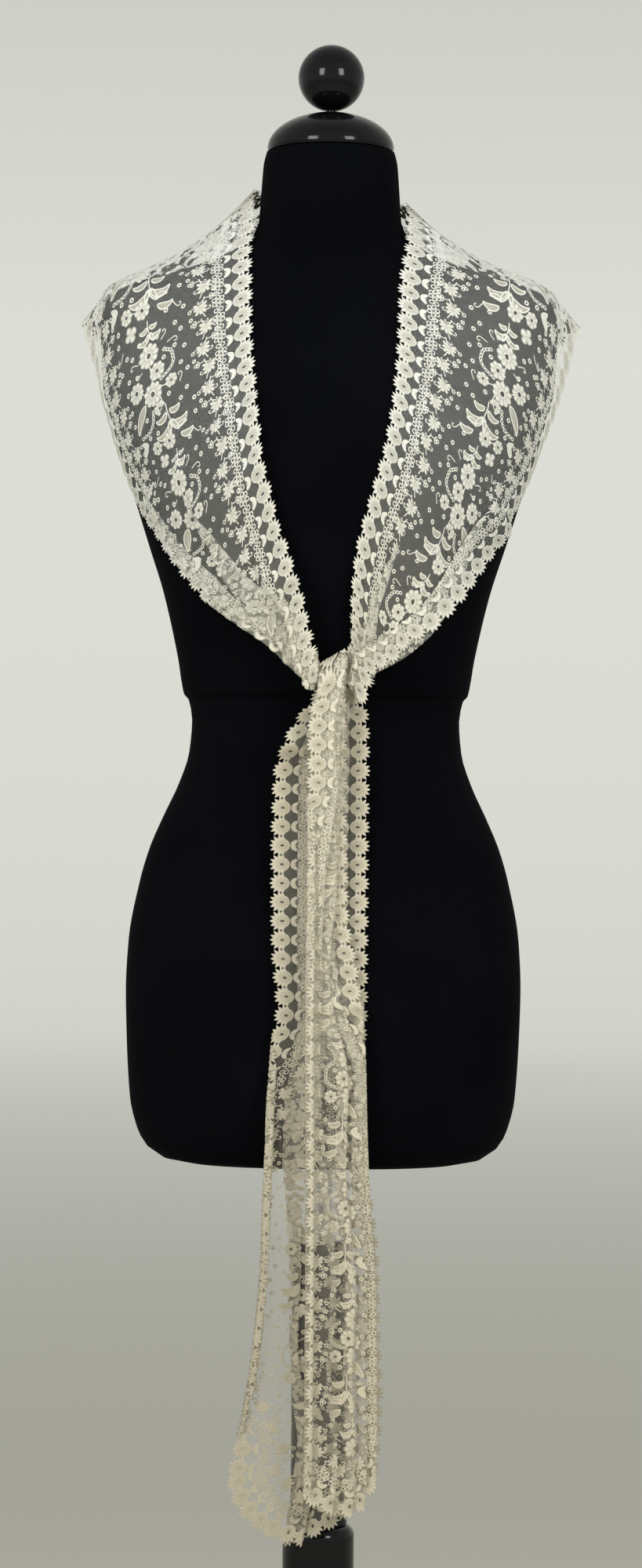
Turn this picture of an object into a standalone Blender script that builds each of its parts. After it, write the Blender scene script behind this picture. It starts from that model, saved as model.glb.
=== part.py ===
"""A long lace shawl worn over a dress form and tied once at the breast, its two tails hanging down in front.

Sizes and tables are in millimetres and become metres when a mesh is made. +Z is up, the wearer faces -Y, and
the origin is the middle of the stand's underside. "Left" and "right" are the viewer's, facing the form.

Cloth is worked out as stretches. Each stretch is a fine grid of points over its flat cut: "along" runs down
the length of the shawl and "across" from the neck edge to the outer edge. The walls are read from those grids.
"""

import math

import bpy
import numpy as np
from mathutils import Vector
from mathutils.geometry import delaunay_2d_cdt

MM = 0.001

# The shawl as it was cut
SHAWL_WIDTH = 170.0
HALF_WIDTH = SHAWL_WIDTH / 2
WALL = 1.0
SEAM_GAP = 0.4
SCALLOP_PITCH = 16.0
SCALLOP_DEPTH = 4.5
BORDER_INSET = 8.0
END_LENGTH = 78.0
END_SQUARE = 88.0

# How the cloth lies
CLEARANCE = 3.0
TIP_CLEARANCE = 3.0
NECK_CLEARANCE = 1.5
TAUT_PASSES = 120
TURN_RADIUS = 1.0
FULL_TURN_OVERLAP = 6.0
GATHER_PITCH = 42.0
GATHER_DEPTH = 4.5
GATHER_REACH = 225.0

# Spacing of the fine grids
ALONG_STEP = 5.0
ACROSS_STEP = 0.5
BASE_COLUMNS = 25

# The form's hard parts
NECK_TOP = 1550.0
CAP_RADIUS = 55.0
CAP_HEIGHT = 34.5
BALL_RADIUS = 28.7
BALL_CENTRE = 1615.0
STEM_RADIUS = 4.0
TORSO_BOTTOM = 676.0
POLE_RADIUS = 9.5
COLUMN_TOP = 608.0
BASE_RADIUS = 225.0
BASE_HEIGHT = 24.0
PART_GAP = 0.3


class Table:
    """Rows of sizes. The first column says where along the piece each row stands, and rises."""

    def __init__(self, names, *rows):
        self.names = names.split()
        self.rows = np.array(rows, float)

    def read(self, name, at):
        """A column's value at each place, on a smooth curve that never overshoots the rows."""
        return smooth_curve(self.rows[:, 0], self.rows[:, self.names.index(name)], at)


FORM = Table(
    "height half_width front back squareness",
    (676, 118, 70, 78, 2.3),
    (680, 138, 84, 92, 2.3),
    (690, 152, 94, 103, 2.3),
    (704, 160, 99, 110, 2.3),
    (731, 166.6, 103, 116, 2.3),
    (785, 170, 106, 122, 2.3),
    (826, 171, 106, 124, 2.3),
    (867, 169, 105, 123, 2.3),
    (921, 159, 100, 113, 2.3),
    (948, 151, 96, 106, 2.25),
    (976, 139, 91, 97, 2.2),
    (1003, 126.5, 85, 88, 2.2),
    (1030, 118, 81, 81, 2.2),
    (1057, 115.8, 80, 78.5, 2.2),
    (1075, 119, 82, 80, 2.2),
    (1080, 123, 86, 84, 2.2),
    (1111, 128.5, 93, 86, 2.2),
    (1166, 141, 106, 90, 2.25),
    (1207, 154, 115, 93, 2.3),
    (1248, 167, 121, 96, 2.3),
    (1288, 180, 120, 98, 2.35),
    (1316, 188, 113, 99, 2.4),
    (1343, 195, 103, 100, 2.5),
    (1370, 197, 92, 99, 2.55),
    (1397, 198, 82, 97, 2.6),
    (1412, 196, 76, 92, 2.5),
    (1424, 190, 70, 85, 2.4),
    (1434, 172, 66, 79, 2.3),
    (1443, 140, 63, 74, 2.2),
    (1452, 112, 60.5, 69, 2.1),
    (1463, 86, 58.5, 65, 2.05),
    (1474, 70, 58, 62, 2.0),
    (1489, 62, 58.5, 60.5, 2.0),
    (1515, 60, 58.5, 59.5, 2.0),
    (1540, 58, 56.5, 57.5, 2.0),
    (1550, 55.5, 54, 55, 2.0),
)

# Where the shawl's two long edges lie on the viewer's left side, from the middle of the back to the knot.
# The shares say how the spare width is divided between the three folds that form on the way to the knot.
LEFT_SIDE = Table(
    "along inner_x inner_y inner_z outer_x outer_y outer_z share_a share_b share_c",
    (0, 0, 66, 1514, 0, 104, 1352, 1, 0, 0),
    (105, -40, 50, 1519, -120, 94, 1360, 1, 0, 0),
    (175, -59, 22, 1520, -196, 50, 1384, 1, 0, 0),
    (210, -62, 6, 1514, -213, 22, 1397, 1, 0, 0),
    (235, -62, -12, 1499, -216, 0, 1399, 1, 0, 0),
    (270, -63, -34, 1468, -205, -7, 1366, 1, 0, 0),
    (320, -64, -62, 1424, -189, -13, 1322, 1, 0, 0),
    (370, -63, -86, 1378, -173, -20, 1276, 1, 0, 0),
    (420, -58.5, -106, 1330, -158, -38, 1235, 1, 0, 0),
    (470, -52, -121, 1281, -139, -66, 1199, 0.8, 0.2, 0),
    (520, -39, -122, 1230, -111, -88, 1163, 0.6, 0.25, 0.15),
    (560, -25, -118, 1192, -84, -99, 1142, 0.46, 0.3, 0.24),
    (600, -14, -113, 1152, -55, -103, 1118, 0.38, 0.33, 0.29),
    (630, -12, -107, 1123, -34, -104, 1098, 0.34, 0.33, 0.33),
    (648, -12, -103, 1110.5, -26, -101, 1088, 0.34, 0.33, 0.33),
)

RIGHT_SIDE = Table(
    "along inner_x inner_y inner_z outer_x outer_y outer_z share_a share_b share_c",
    (0, 0, 66, 1514, 0, 104, 1352, 1, 0, 0),
    (105, 40, 50, 1514, 120, 94, 1360, 1, 0, 0),
    (175, 59, 22, 1509, 196, 50, 1384, 1, 0, 0),
    (210, 62, 6, 1504, 215, 22, 1397, 1, 0, 0),
    (235, 62, -12, 1492, 219, 0, 1400, 1, 0, 0),
    (270, 60, -34, 1464, 210, -6, 1368, 1, 0, 0),
    (320, 57, -62, 1424, 196, -12, 1322, 1, 0, 0),
    (370, 56, -84, 1382, 177, -19, 1276, 1, 0, 0),
    (420, 53, -104, 1336, 159, -38, 1236, 1, 0, 0),
    (470, 46, -120, 1289, 140, -62, 1199, 1, 0, 0),
    (520, 33, -122, 1240, 111, -89, 1157, 0.9, 0.1, 0),
    (560, 22, -117, 1194, 83, -103, 1124, 0.75, 0.15, 0.1),
    (600, 19, -112, 1152, 56, -106, 1103, 0.55, 0.25, 0.2),
    (632, 22.6, -104, 1129, 33.6, -101, 1096, 0.37, 0.32, 0.31),
    (645, 22.3, -102, 1119, 27.6, -100, 1087, 0.34, 0.33, 0.33),
)

# Where the three folds sit across the width on each side, and which way they lap: on the left the neck edge
# lies on top, on the right the outer border does.
LEFT_FOLDS = Table("along a b c", (0, 44, 0, -44), (650, 42, 0, -42))
RIGHT_FOLDS = Table("along a b c", (0, 30, -12, -52), (560, 31, -11, -51), (645, 42, 0, -43))
SIDE_LAP = {"left": -1.0, "right": 1.0}

# The tails, from the top down. "left_x" and "right_x" are the outline's two sides, and "back" is how far
# forward the rearmost layer hangs.
REAR_TAIL = Table(
    "drop left_x right_x back share_a share_b share_c",
    (0, -10, 23, 95, 0.33, 0.34, 0.33),
    (10, -13, 32, 95, 0.32, 0.36, 0.32),
    (26, -25, 37, 96, 0.2, 0.6, 0.2),
    (50, -38, 38, 97.5, 0.08, 0.84, 0.08),
    (78, -45, 38, 99, 0, 1, 0),
    (140, -46, 38, 103, 0, 1, 0),
    (218, -45, 38, 108.5, 0, 1, 0),
    (270, -41, 38, 108.5, 0, 1, 0),
    (300, -44, 37, 108.5, 0, 1, 0),
    (345, -47, 36, 108.5, 0, 1, 0),
    (400, -48.5, 38, 108.5, 0, 1, 0),
    (430, -49.5, 44, 108.5, 0, 1, 0),
    (480, -51, 50, 108, 0, 1, 0),
    (545, -56, 52, 107.5, 0, 1, 0),
    (600, -64, 54, 107, 0, 1, 0),
    (640, -73, 52, 107, 0, 1, 0),
    (722, -92, 44, 107, 0, 1, 0),
)
REAR_TAIL_TOP = 1085.5
REAR_TAIL_FOLDS = (-40.0, 2.0, 43.0)

FRONT_TAIL = Table(
    "drop left_x right_x back share_a share_b share_c",
    (0, -15, 15, 118, 0.33, 0.34, 0.33),
    (60, -16, 17, 118, 0.33, 0.34, 0.33),
    (100, -16, 20, 118, 0.33, 0.34, 0.33),
    (150, -15, 25, 117.5, 0.33, 0.34, 0.33),
    (180, -15, 31, 117, 0.33, 0.34, 0.33),
    (215, -15, 36, 117, 0.32, 0.34, 0.34),
    (260, -15, 40, 116.5, 0.31, 0.35, 0.34),
    (400, -14, 42, 116.5, 0.31, 0.35, 0.34),
    (460, -13.5, 46, 116.5, 0.31, 0.35, 0.34),
    (530, -13, 52, 116.5, 0.31, 0.35, 0.34),
    (650, -13, 55, 116.5, 0.31, 0.35, 0.34),
    (715, -14, 56, 116.5, 0.31, 0.35, 0.34),
)
FRONT_TAIL_TOP = 1088.0
FRONT_TAIL_FOLDS = (-40.0, 1.0, 43.0)
OVER_RADIUS = 6.0
TOP_SLANT = 0.32
SLANT_HEIGHT = 18.0

# The strap of the knot, which crosses in front of the rear tail's root and turns back beside it
STRAP_BOTTOM = 1070.0
STRAP_TOP = 1087.0
STRAP_FRONT = 116.6
STRAP_BACK = 108.6
STRAP_LEFT = -15.5
STRAP_RIGHT = 16.5
STRAP_RIDGES = 3
STRAP_RIDGE_DEPTH = 0.7


def smooth_curve(places, values, at):
    """Cubic curve through the points, with slopes chosen so that it doesn't overshoot."""
    step = np.diff(places)
    rise = np.diff(values) / step
    before, after = rise[:-1], rise[1:]
    level = before * after <= 0
    mean = 2 * before * after / np.where(level, 1, before + after)
    slope = np.concatenate([rise[:1], np.where(level, 0, mean), rise[-1:]])
    at = np.clip(np.asarray(at, float), places[0], places[-1])
    k = np.clip(np.searchsorted(places, at, side="right") - 1, 0, len(step) - 1)
    u = (at - places[k]) / step[k]
    return (
        values[k] * (1 + 2 * u) * (1 - u) ** 2
        + slope[k] * step[k] * u * (1 - u) ** 2
        + values[k + 1] * u**2 * (3 - 2 * u)
        + slope[k + 1] * step[k] * u**2 * (u - 1)
    )


def form_level(points):
    """Under 1 inside the dress form, 1 on its surface and over 1 outside it."""
    x, y, z = points[..., 0], points[..., 1], points[..., 2]
    half_width = FORM.read("half_width", z)
    depth = np.where(y < 0, FORM.read("front", z), FORM.read("back", z))
    power = FORM.read("squareness", z)
    total = (np.abs(x) / half_width) ** power + (np.abs(y) / depth) ** power
    return np.maximum(total, 1e-9) ** (1 / power)


def lifted_clear(points):
    """The points again, with those too near the form moved out along its slope."""
    probe = 0.5
    level = form_level(points)
    slope = np.empty_like(points)
    for axis in range(3):
        shift = np.zeros(3)
        shift[axis] = probe
        slope[..., axis] = (form_level(points + shift) - level) / probe
    steepness = np.maximum(np.linalg.norm(slope, axis=-1, keepdims=True), 1e-6)
    distance = (level[..., None] - 1) / steepness
    tip = (np.abs(points[..., :1]) - 182) ** 2 + (points[..., 2:] - 1418) ** 2
    neck = np.clip((points[..., 2:] - 1460) / 20, 0, 1)
    clearance = CLEARANCE + TIP_CLEARANCE * np.exp(-tip / 35**2) + NECK_CLEARANCE * neck
    return points + slope / steepness * np.clip(clearance - distance, 0, 8)


def unit(vectors):
    return vectors / np.maximum(np.linalg.norm(vectors, axis=-1, keepdims=True), 1e-9)


def fold_line(across, folds, overlaps, lap):
    """One section across the cloth: its distance sideways and its height above the lowest layer.

    Each fold turns the cloth right back for its overlap and then forward again, on round turns."""
    turn = math.pi * TURN_RADIUS / 2
    angle = np.zeros_like(across)
    for middle, overlap in zip(folds, overlaps, strict=True):
        strength = min(1.0, overlap / FULL_TURN_OVERLAP)
        reach = overlap / 2 + turn * strength
        angle += math.pi * strength * np.clip((reach - np.abs(across - middle)) / (2 * turn) + 0.5, 0, 1)
    steps = np.diff(across)
    middle_angle = (angle[1:] + angle[:-1]) / 2
    sideways = np.concatenate([[0], np.cumsum(np.cos(middle_angle) * steps)])
    height = np.concatenate([[0], np.cumsum(lap * np.sin(middle_angle) * steps)])
    return sideways, height


def section_across(across, width, folds, shares, lap):
    """A folded section whose two edges come out the given width apart."""
    low, high = 0.0, SHAWL_WIDTH / 2
    for _ in range(22):
        spare = (low + high) / 2
        overlaps = [share * spare for share in shares]
        sideways, height = fold_line(across, folds, overlaps, lap)
        low, high = (spare, high) if sideways[-1] > width else (low, spare)
    return sideways, height - height.min(), overlaps


class Stretch:
    """A length of the shawl as a fine grid of points, with the lines across it where its folds turn."""

    def __init__(self, along, across, points, turns):
        self.along, self.across, self.points, self.turns = along, across, points, turns
        down = np.gradient(points, along, axis=0)
        over = np.gradient(points, across, axis=1)
        self.normals = unit(np.cross(over, down))

    def read(self, grid, along, across):
        """Values of a grid between its points, at places in the flat cut."""
        i = np.clip((along - self.along[0]) / (self.along[1] - self.along[0]), 0, len(self.along) - 1.001)
        j = np.clip((across - self.across[0]) / ACROSS_STEP, 0, len(self.across) - 1.001)
        row, column = i.astype(int), j.astype(int)
        u, v = (i - row)[..., None], (j - column)[..., None]
        return (
            grid[row, column] * (1 - u) * (1 - v)
            + grid[row + 1, column] * u * (1 - v)
            + grid[row, column + 1] * (1 - u) * v
            + grid[row + 1, column + 1] * u * v
        )

    def wall_points(self, along, across, side, wall):
        along, across = np.asarray(along, float), np.asarray(across, float)
        middle = self.read(self.points, along, across)
        return middle + unit(self.read(self.normals, along, across)) * side * wall / 2


def across_grid():
    count = int(SHAWL_WIDTH / ACROSS_STEP) + 1
    return np.linspace(-HALF_WIDTH, HALF_WIDTH, count)


def draped_base(side, along):
    """The surface that the shawl would follow with no folds: drawn taut between its edges, over the form."""
    share = np.linspace(0, 1, BASE_COLUMNS)[None, :, None]
    inner = np.stack([side.read("inner_" + axis, along) for axis in "xyz"], axis=-1)[:, None]
    outer = np.stack([side.read("outer_" + axis, along) for axis in "xyz"], axis=-1)[:, None]
    points = inner * (1 - share) + outer * share
    for _ in range(TAUT_PASSES):
        softer = points.copy()
        softer[1:-1, 1:-1] = points[1:-1, 1:-1] * 0.7 + (points[:-2, 1:-1] + points[2:, 1:-1]) * 0.15
        softer[:, 1:-1] = (softer[:, :-2] + softer[:, 2:]) * 0.5 * 0.8 + softer[:, 1:-1] * 0.2
        points = lifted_clear(softer)
    return points


def worn_side(name, side, fold_table):
    """The half of the worn shawl from the middle of the back to the knot."""
    last = side.rows[-1, 0]
    along = np.linspace(0, last, int(last / ALONG_STEP) + 1)
    base = draped_base(side, along)
    down = np.gradient(base, along, axis=0)
    over = np.gradient(base, axis=1)
    outward = unit(np.cross(down, over)) * (1 if name == "right" else -1)
    across = across_grid()
    points = np.empty((len(along), len(across), 3))
    turns = []
    for row, place in enumerate(along):
        length = np.concatenate([[0], np.cumsum(np.linalg.norm(np.diff(base[row], axis=0), axis=1))])
        shares = [side.read("share_" + letter, place) for letter in "abc"]
        folds = [fold_table.read(letter, place) for letter in "abc"]
        sideways, height, overlaps = section_across(across, length[-1], folds, shares, SIDE_LAP[name])
        reach = np.clip(sideways / sideways[-1], -0.3, 1.3) * length[-1]
        for axis in range(3):
            on_base = np.interp(reach, length, base[row, :, axis])
            direction = np.interp(reach, length, outward[row, :, axis])
            points[row, :, axis] = on_base + direction * (height + gather_height(place, across))
        beyond = np.where(reach < 0, reach, np.maximum(reach - length[-1], 0))
        chord = unit(base[row, -1] - base[row, 0])
        points[row] += beyond[:, None] * chord
        turns.append(turn_lines(folds, overlaps))
    return Stretch(along, across, points, np.array(turns))


def gather_height(place, across):
    """Soft gathers that take up the neck edge round the back of the neck."""
    near_back = np.clip((GATHER_REACH - abs(place)) / 40, 0, 1)
    near_edge = np.clip((-across - 5) / (HALF_WIDTH - 5), 0, 1) ** 1.5
    wave = 0.5 - 0.5 * math.cos(2 * math.pi * place / GATHER_PITCH)
    return GATHER_DEPTH * near_back * near_edge * wave


def turn_lines(folds, overlaps):
    """Where each fold's two turns lie across the cloth."""
    lines = []
    for middle, overlap in zip(folds, overlaps, strict=True):
        reach = overlap / 2 + math.pi * TURN_RADIUS / 2 * min(1.0, overlap / FULL_TURN_OVERLAP)
        reach = max(reach, math.pi * TURN_RADIUS / 2)
        lines += [middle - reach, middle + reach]
    return sorted(lines)


def hanging_tail(tail, folds, path, lap):
    """A tail: folded sections set side by side down a path in the middle plane."""
    last = tail.rows[-1, 0]
    along = np.linspace(0, last, int(last / ALONG_STEP) + 1)
    across = across_grid()
    points = np.empty((len(along), len(across), 3))
    turns = []
    for row, place in enumerate(along):
        left, right = tail.read("left_x", place), tail.read("right_x", place)
        shares = [tail.read("share_" + letter, place) for letter in "abc"]
        sideways, height, overlaps = section_across(across, right - left, folds, shares, lap)
        start, ahead = path(place)
        points[row, :, 0] = sideways + left
        points[row, :, 1:] = start + height[:, None] * ahead
        turns.append(turn_lines(folds, overlaps))
    return Stretch(along, across, points, np.array(turns))


def rear_path(place):
    """The rear tail's rearmost layer hangs straight down; its other layers lie in front."""
    return np.array([-REAR_TAIL.read("back", place), REAR_TAIL_TOP - place]), np.array([-1.0, 0.0])


def front_path(place):
    """The front tail starts behind the knot, turns over it and falls."""
    arc = math.pi * OVER_RADIUS
    fallen = max(place - arc, 0)
    back = FRONT_TAIL.read("back", fallen)
    if fallen:
        return np.array([-back, FRONT_TAIL_TOP - fallen]), np.array([-1.0, 0.0])
    turned = place / OVER_RADIUS
    ahead = np.array([math.cos(turned), math.sin(turned)])
    return np.array([-back + OVER_RADIUS, FRONT_TAIL_TOP]) + OVER_RADIUS * ahead, ahead


def slanted_top(points):
    """The fold over the knot rises to the right."""
    rise = np.clip((points[..., 2] - FRONT_TAIL_TOP) / SLANT_HEIGHT, 0, 1)
    points[..., 2] += TOP_SLANT * (points[..., 0] - 1) * rise * rise * (3 - 2 * rise)


# Outlines of the cut, as points (along, across) with the scallops of the border worked in


def scalloped(line):
    """The outline again with scallops: dips of the border's depth between flat-topped lobes."""
    step = np.linalg.norm(np.diff(line, axis=0), axis=1)
    length = np.concatenate([[0], np.cumsum(step)])
    lobes = max(1, round(length[-1] / SCALLOP_PITCH))
    pitch = length[-1] / lobes
    places, depths = [], []
    for lobe in range(lobes):
        places += [lobe * pitch, (lobe + 0.3) * pitch, (lobe + 0.7) * pitch]
        depths += [SCALLOP_DEPTH, 0.0, 0.0]
    places.append(length[-1])
    depths.append(SCALLOP_DEPTH)
    at = np.stack([np.interp(places, length, line[:, k]) for k in range(2)], axis=1)
    ahead = np.interp(np.array(places) + 1, length, line[:, 0]), np.interp(np.array(places) + 1, length, line[:, 1])
    behind = np.interp(np.array(places) - 1, length, line[:, 0]), np.interp(np.array(places) - 1, length, line[:, 1])
    direction = unit(np.stack(ahead, axis=1) - np.stack(behind, axis=1))
    inward = np.stack([-direction[:, 1], direction[:, 0]], axis=1)
    return at + inward * np.array(depths)[:, None]


def end_place(last, across, inset):
    """How far down the cut reaches at each place across its round end."""
    return last - END_LENGTH + (END_LENGTH - inset) * np.sqrt(1 - (across / (END_SQUARE - inset)) ** 2)


def grid_columns(stretch, place, edge):
    """Places across one row of the wall: the two border lines, each turn's three lines, and the runs between."""
    if stretch.turns is None:
        return np.linspace(-edge, edge, 8)
    row = np.clip((place - stretch.along[0]) / (stretch.along[1] - stretch.along[0]), 0, len(stretch.along) - 1)
    turns = [np.interp(row, np.arange(len(stretch.along)), line) for line in stretch.turns.T]
    stops = [-edge] + turns + [edge]
    spread = math.pi * TURN_RADIUS / 2
    columns = [-edge]
    for k, (left, line, right) in enumerate(zip(stops[:-2], stops[1:-1], stops[2:], strict=True)):
        near = min(spread, (line - left) * 0.4), min(spread, (right - line) * 0.4)
        columns += [(left + line) / 2] if k % 2 == 0 else []
        columns += [line - near[0], line, line + near[1]]
    columns += [(stops[-2] + edge) / 2, edge]
    return np.array(columns)


def wall_mesh(stretch, rows, round_end):
    """A closed wall: a grid inside the border lines, zipped to the scalloped outline round its free edges."""
    edge = HALF_WIDTH - BORDER_INSET
    flat, index = [], []
    last = stretch.along[-1]
    for place in rows:
        columns = grid_columns(stretch, place, edge)
        down = np.full(len(columns), place)
        if round_end:
            squeeze = np.clip((place - rows[round_end]) / (rows[-1] - rows[round_end]), 0, 1)
            lowest = end_place(last, columns, BORDER_INSET)
            down = rows[round_end] + (lowest - rows[round_end]) * squeeze if squeeze > 0 else down
        index.append(np.arange(len(columns)) + len(flat))
        flat += list(np.stack([down, columns], axis=1))
    index = np.array(index)
    flat = np.array(flat)
    loops = border_loops(stretch, rows, flat, index, round_end)
    faces = [[a, b, c] for a, b, c in grid_faces(index)]
    for inner_line, outer_line in loops:
        start = len(flat)
        flat = np.concatenate([flat, outer_line])
        outer_index = list(range(start, start + len(outer_line)))
        faces += border_triangles(flat, inner_line, outer_index)
    return flat, np.array(faces)


def grid_faces(index):
    for row in range(index.shape[0] - 1):
        for column in range(index.shape[1] - 1):
            a, b = index[row, column], index[row, column + 1]
            c, d = index[row + 1, column + 1], index[row + 1, column]
            yield a, b, c
            yield a, c, d


def border_loops(stretch, rows, flat, index, round_end):
    """Pairs of lines to be zipped: the grid's own edge and the scalloped outline beside it."""
    first, last = rows[0], rows[-1] if not round_end else stretch.along[-1]
    if not round_end:
        left = scalloped(np.array([[first, -HALF_WIDTH], [last, -HALF_WIDTH]]))
        right = scalloped(np.array([[last, HALF_WIDTH], [first, HALF_WIDTH]]))
        left[[0, -1], 0] = first, last
        right[[0, -1], 0] = last, first
        return [(list(index[:, 0]), left), (list(index[::-1, -1]), right)]
    across = np.linspace(-HALF_WIDTH, HALF_WIDTH, 61)
    bottom = np.stack([end_place(last, across, 0.0), across], axis=1)
    outline = np.concatenate([[[first, -HALF_WIDTH]], bottom, [[first, HALF_WIDTH]]])
    line = scalloped(outline)
    line[[0, -1], 0] = first
    line = with_columns(line, flat[index[-1, 1:-1], 1])
    inner = list(index[:, 0]) + list(index[-1, 1:]) + list(index[-2::-1, -1])
    return [(inner, line)]


def with_columns(line, columns):
    """The outline of a round end, with a point more wherever it crosses one of the columns."""
    points = [line[0]]
    for start, end in zip(line[:-1], line[1:], strict=True):
        crossed = [c for c in columns if start[1] + 0.25 < c < end[1] - 0.25]
        points += [start + (end - start) * (c - start[1]) / (end[1] - start[1]) for c in sorted(crossed)]
        points.append(end)
    return np.array(points)


def border_triangles(flat, inner, outer):
    """Triangles that fill the band between the grid's edge and the scalloped outline.

    Where the outline has a point straight beyond one of the grid's, the line between them is kept."""
    used = list(inner) + list(outer)
    loop = list(range(len(inner))) + list(range(len(used) - 1, len(inner) - 1, -1))
    coordinates = [Vector(flat[k]) for k in used]
    kept = [
        (i, j + len(inner))
        for i, start in enumerate(inner)
        for j, end in enumerate(outer)
        if abs(flat[start][1] - flat[end][1]) < 1e-6
    ]
    result = delaunay_2d_cdt(coordinates, kept, [loop], 1, 1e-4)
    triangles, origins = result[2], result[3]
    return [[used[origins[k][0]] for k in triangle][::-1] for triangle in triangles]


def closed_wall(stretch, flat, faces, wall=WALL):
    """Both faces of the wall and the rim that joins them round the open edge."""
    front = stretch.wall_points(flat[:, 0], flat[:, 1], 1, wall)
    back = stretch.wall_points(flat[:, 0], flat[:, 1], -1, wall)
    count = len(flat)
    edges = {}
    for a, b, c in faces:
        for start, end in ((a, b), (b, c), (c, a)):
            edges[(start, end)] = True
    rim = []
    for start, end in edges:
        if (end, start) not in edges:
            rim += [[start, start + count, end + count], [start, end + count, end]]
    everything = [list(face) for face in faces] + [[c + count, b + count, a + count] for a, b, c in faces] + rim
    return np.concatenate([front, back]), everything


def add_object(name, points, faces, material, smooth_angle=40):
    """A named object from points in millimetres, with its faces turned outward."""
    mesh = bpy.data.meshes.new(name)
    mesh.from_pydata((np.asarray(points) * MM).tolist(), [], [[int(i) for i in face] for face in faces])
    if signed_volume(mesh) < 0:
        mesh.flip_normals()
    mesh.materials.append(material)
    mesh.shade_smooth()
    mesh.set_sharp_from_angle(angle=math.radians(smooth_angle))
    obj = bpy.data.objects.new(name, mesh)
    bpy.context.scene.collection.objects.link(obj)
    return obj


def signed_volume(mesh):
    mesh.calc_loop_triangles()
    total = 0.0
    for triangle in mesh.loop_triangles:
        a, b, c = (mesh.vertices[i].co for i in triangle.vertices)
        total += a.dot(b.cross(c))
    return total


def make_material(name, colour, roughness, metallic=0.0):
    material = bpy.data.materials.new(name)
    material.use_nodes = True
    shader = material.node_tree.nodes["Principled BSDF"]
    shader.inputs["Base Color"].default_value = (*colour, 1)
    shader.inputs["Roughness"].default_value = roughness
    shader.inputs["Metallic"].default_value = metallic
    return material


def turned(name, profile, material, sides):
    """A solid of revolution about the stand's axis from rows of (radius, height), bottom to top."""
    points, faces = [], []
    rings = [row for row in profile if row[0] > 0]
    for radius, height in rings:
        for k in range(sides):
            angle = 2 * math.pi * k / sides
            points.append((radius * math.cos(angle), radius * math.sin(angle), height))
    for ring in range(len(rings) - 1):
        for k in range(sides):
            a, b = ring * sides + k, ring * sides + (k + 1) % sides
            faces.append([a, b, b + sides, a + sides])
    faces.append([k for k in range(sides)][::-1])
    faces.append([(len(rings) - 1) * sides + k for k in range(sides)])
    return add_object(name, points, faces, material)


def arc_rows(centre_radius, centre_height, radius, start, end, steps):
    """Profile rows round an arc, its angles in degrees from the horizontal."""
    rows = []
    for k in range(steps + 1):
        angle = math.radians(start + (end - start) * k / steps)
        rows.append((centre_radius + radius * math.cos(angle), centre_height + radius * math.sin(angle)))
    return rows


def make_torso(material):
    skipped = (785, 867, 1003, 1288, 1370, 1489)
    heights = [row[0] for row in FORM.rows if row[0] not in skipped]
    sides = 26
    points, faces = [], []
    heights = sorted(heights)
    for height in heights:
        half_width = FORM.read("half_width", height)
        power = 2 / FORM.read("squareness", height)
        for k in range(sides):
            angle = 2 * math.pi * k / sides
            cosine, sine = math.cos(angle), math.sin(angle)
            depth = FORM.read("front" if sine < 0 else "back", height)
            x = half_width * math.copysign(abs(cosine) ** power, cosine)
            points.append((x, depth * math.copysign(abs(sine) ** power, sine), height))
    for ring in range(len(heights) - 1):
        for k in range(sides):
            a, b = ring * sides + k, ring * sides + (k + 1) % sides
            faces.append([a, b, b + sides, a + sides])
    faces.append([k for k in range(sides)][::-1])
    faces.append([(len(heights) - 1) * sides + k for k in range(sides)])
    return add_object("form_torso", points, faces, material)


def make_stand(lacquer, metal):
    cap_base = NECK_TOP + PART_GAP
    cap = [(CAP_RADIUS - 3, cap_base), (CAP_RADIUS, cap_base + 3)]
    for k in range(1, 6):
        angle = math.radians(90 * k / 6)
        cap.append((CAP_RADIUS * math.cos(angle), cap_base + 3 + (CAP_HEIGHT - 3) * math.sin(angle)))
    cap.append((STEM_RADIUS + 1, cap_base + CAP_HEIGHT))
    turned("form_neck_cap", cap, lacquer, 24)
    ball_bottom = BALL_CENTRE - BALL_RADIUS
    stem = [(STEM_RADIUS, cap_base + CAP_HEIGHT + PART_GAP), (STEM_RADIUS, ball_bottom + 0.6)]
    ball = arc_rows(0, BALL_CENTRE, BALL_RADIUS, -76, 80, 8)
    turned("form_ball", stem + ball, lacquer, 20)
    pole = [(POLE_RADIUS, COLUMN_TOP + PART_GAP), (POLE_RADIUS, TORSO_BOTTOM - PART_GAP)]
    turned("form_pole", pole, metal, 16)
    column = [(31, BASE_HEIGHT + PART_GAP), (31, 352)]
    column += arc_rows(21, 352, 10, 15, 75, 3)
    column += [(24.5, 364), (24.5, 546), (27.5, 549.5), (28.5, 554), (27.5, 558.5), (24.5, 562), (25, 598)]
    column += arc_rows(17, 600, 8, 0, 90, 3)
    turned("form_column", column, lacquer, 18)
    base = [(BASE_RADIUS - 4, 0), (BASE_RADIUS, 4), (BASE_RADIUS, 14)]
    base += arc_rows(BASE_RADIUS - 10, 14, 10, 30, 90, 2)
    turned("form_base", base, lacquer, 36)


def spaced(first, last, step):
    return list(np.linspace(first, last, max(2, round((last - first) / step) + 1)))


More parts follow.
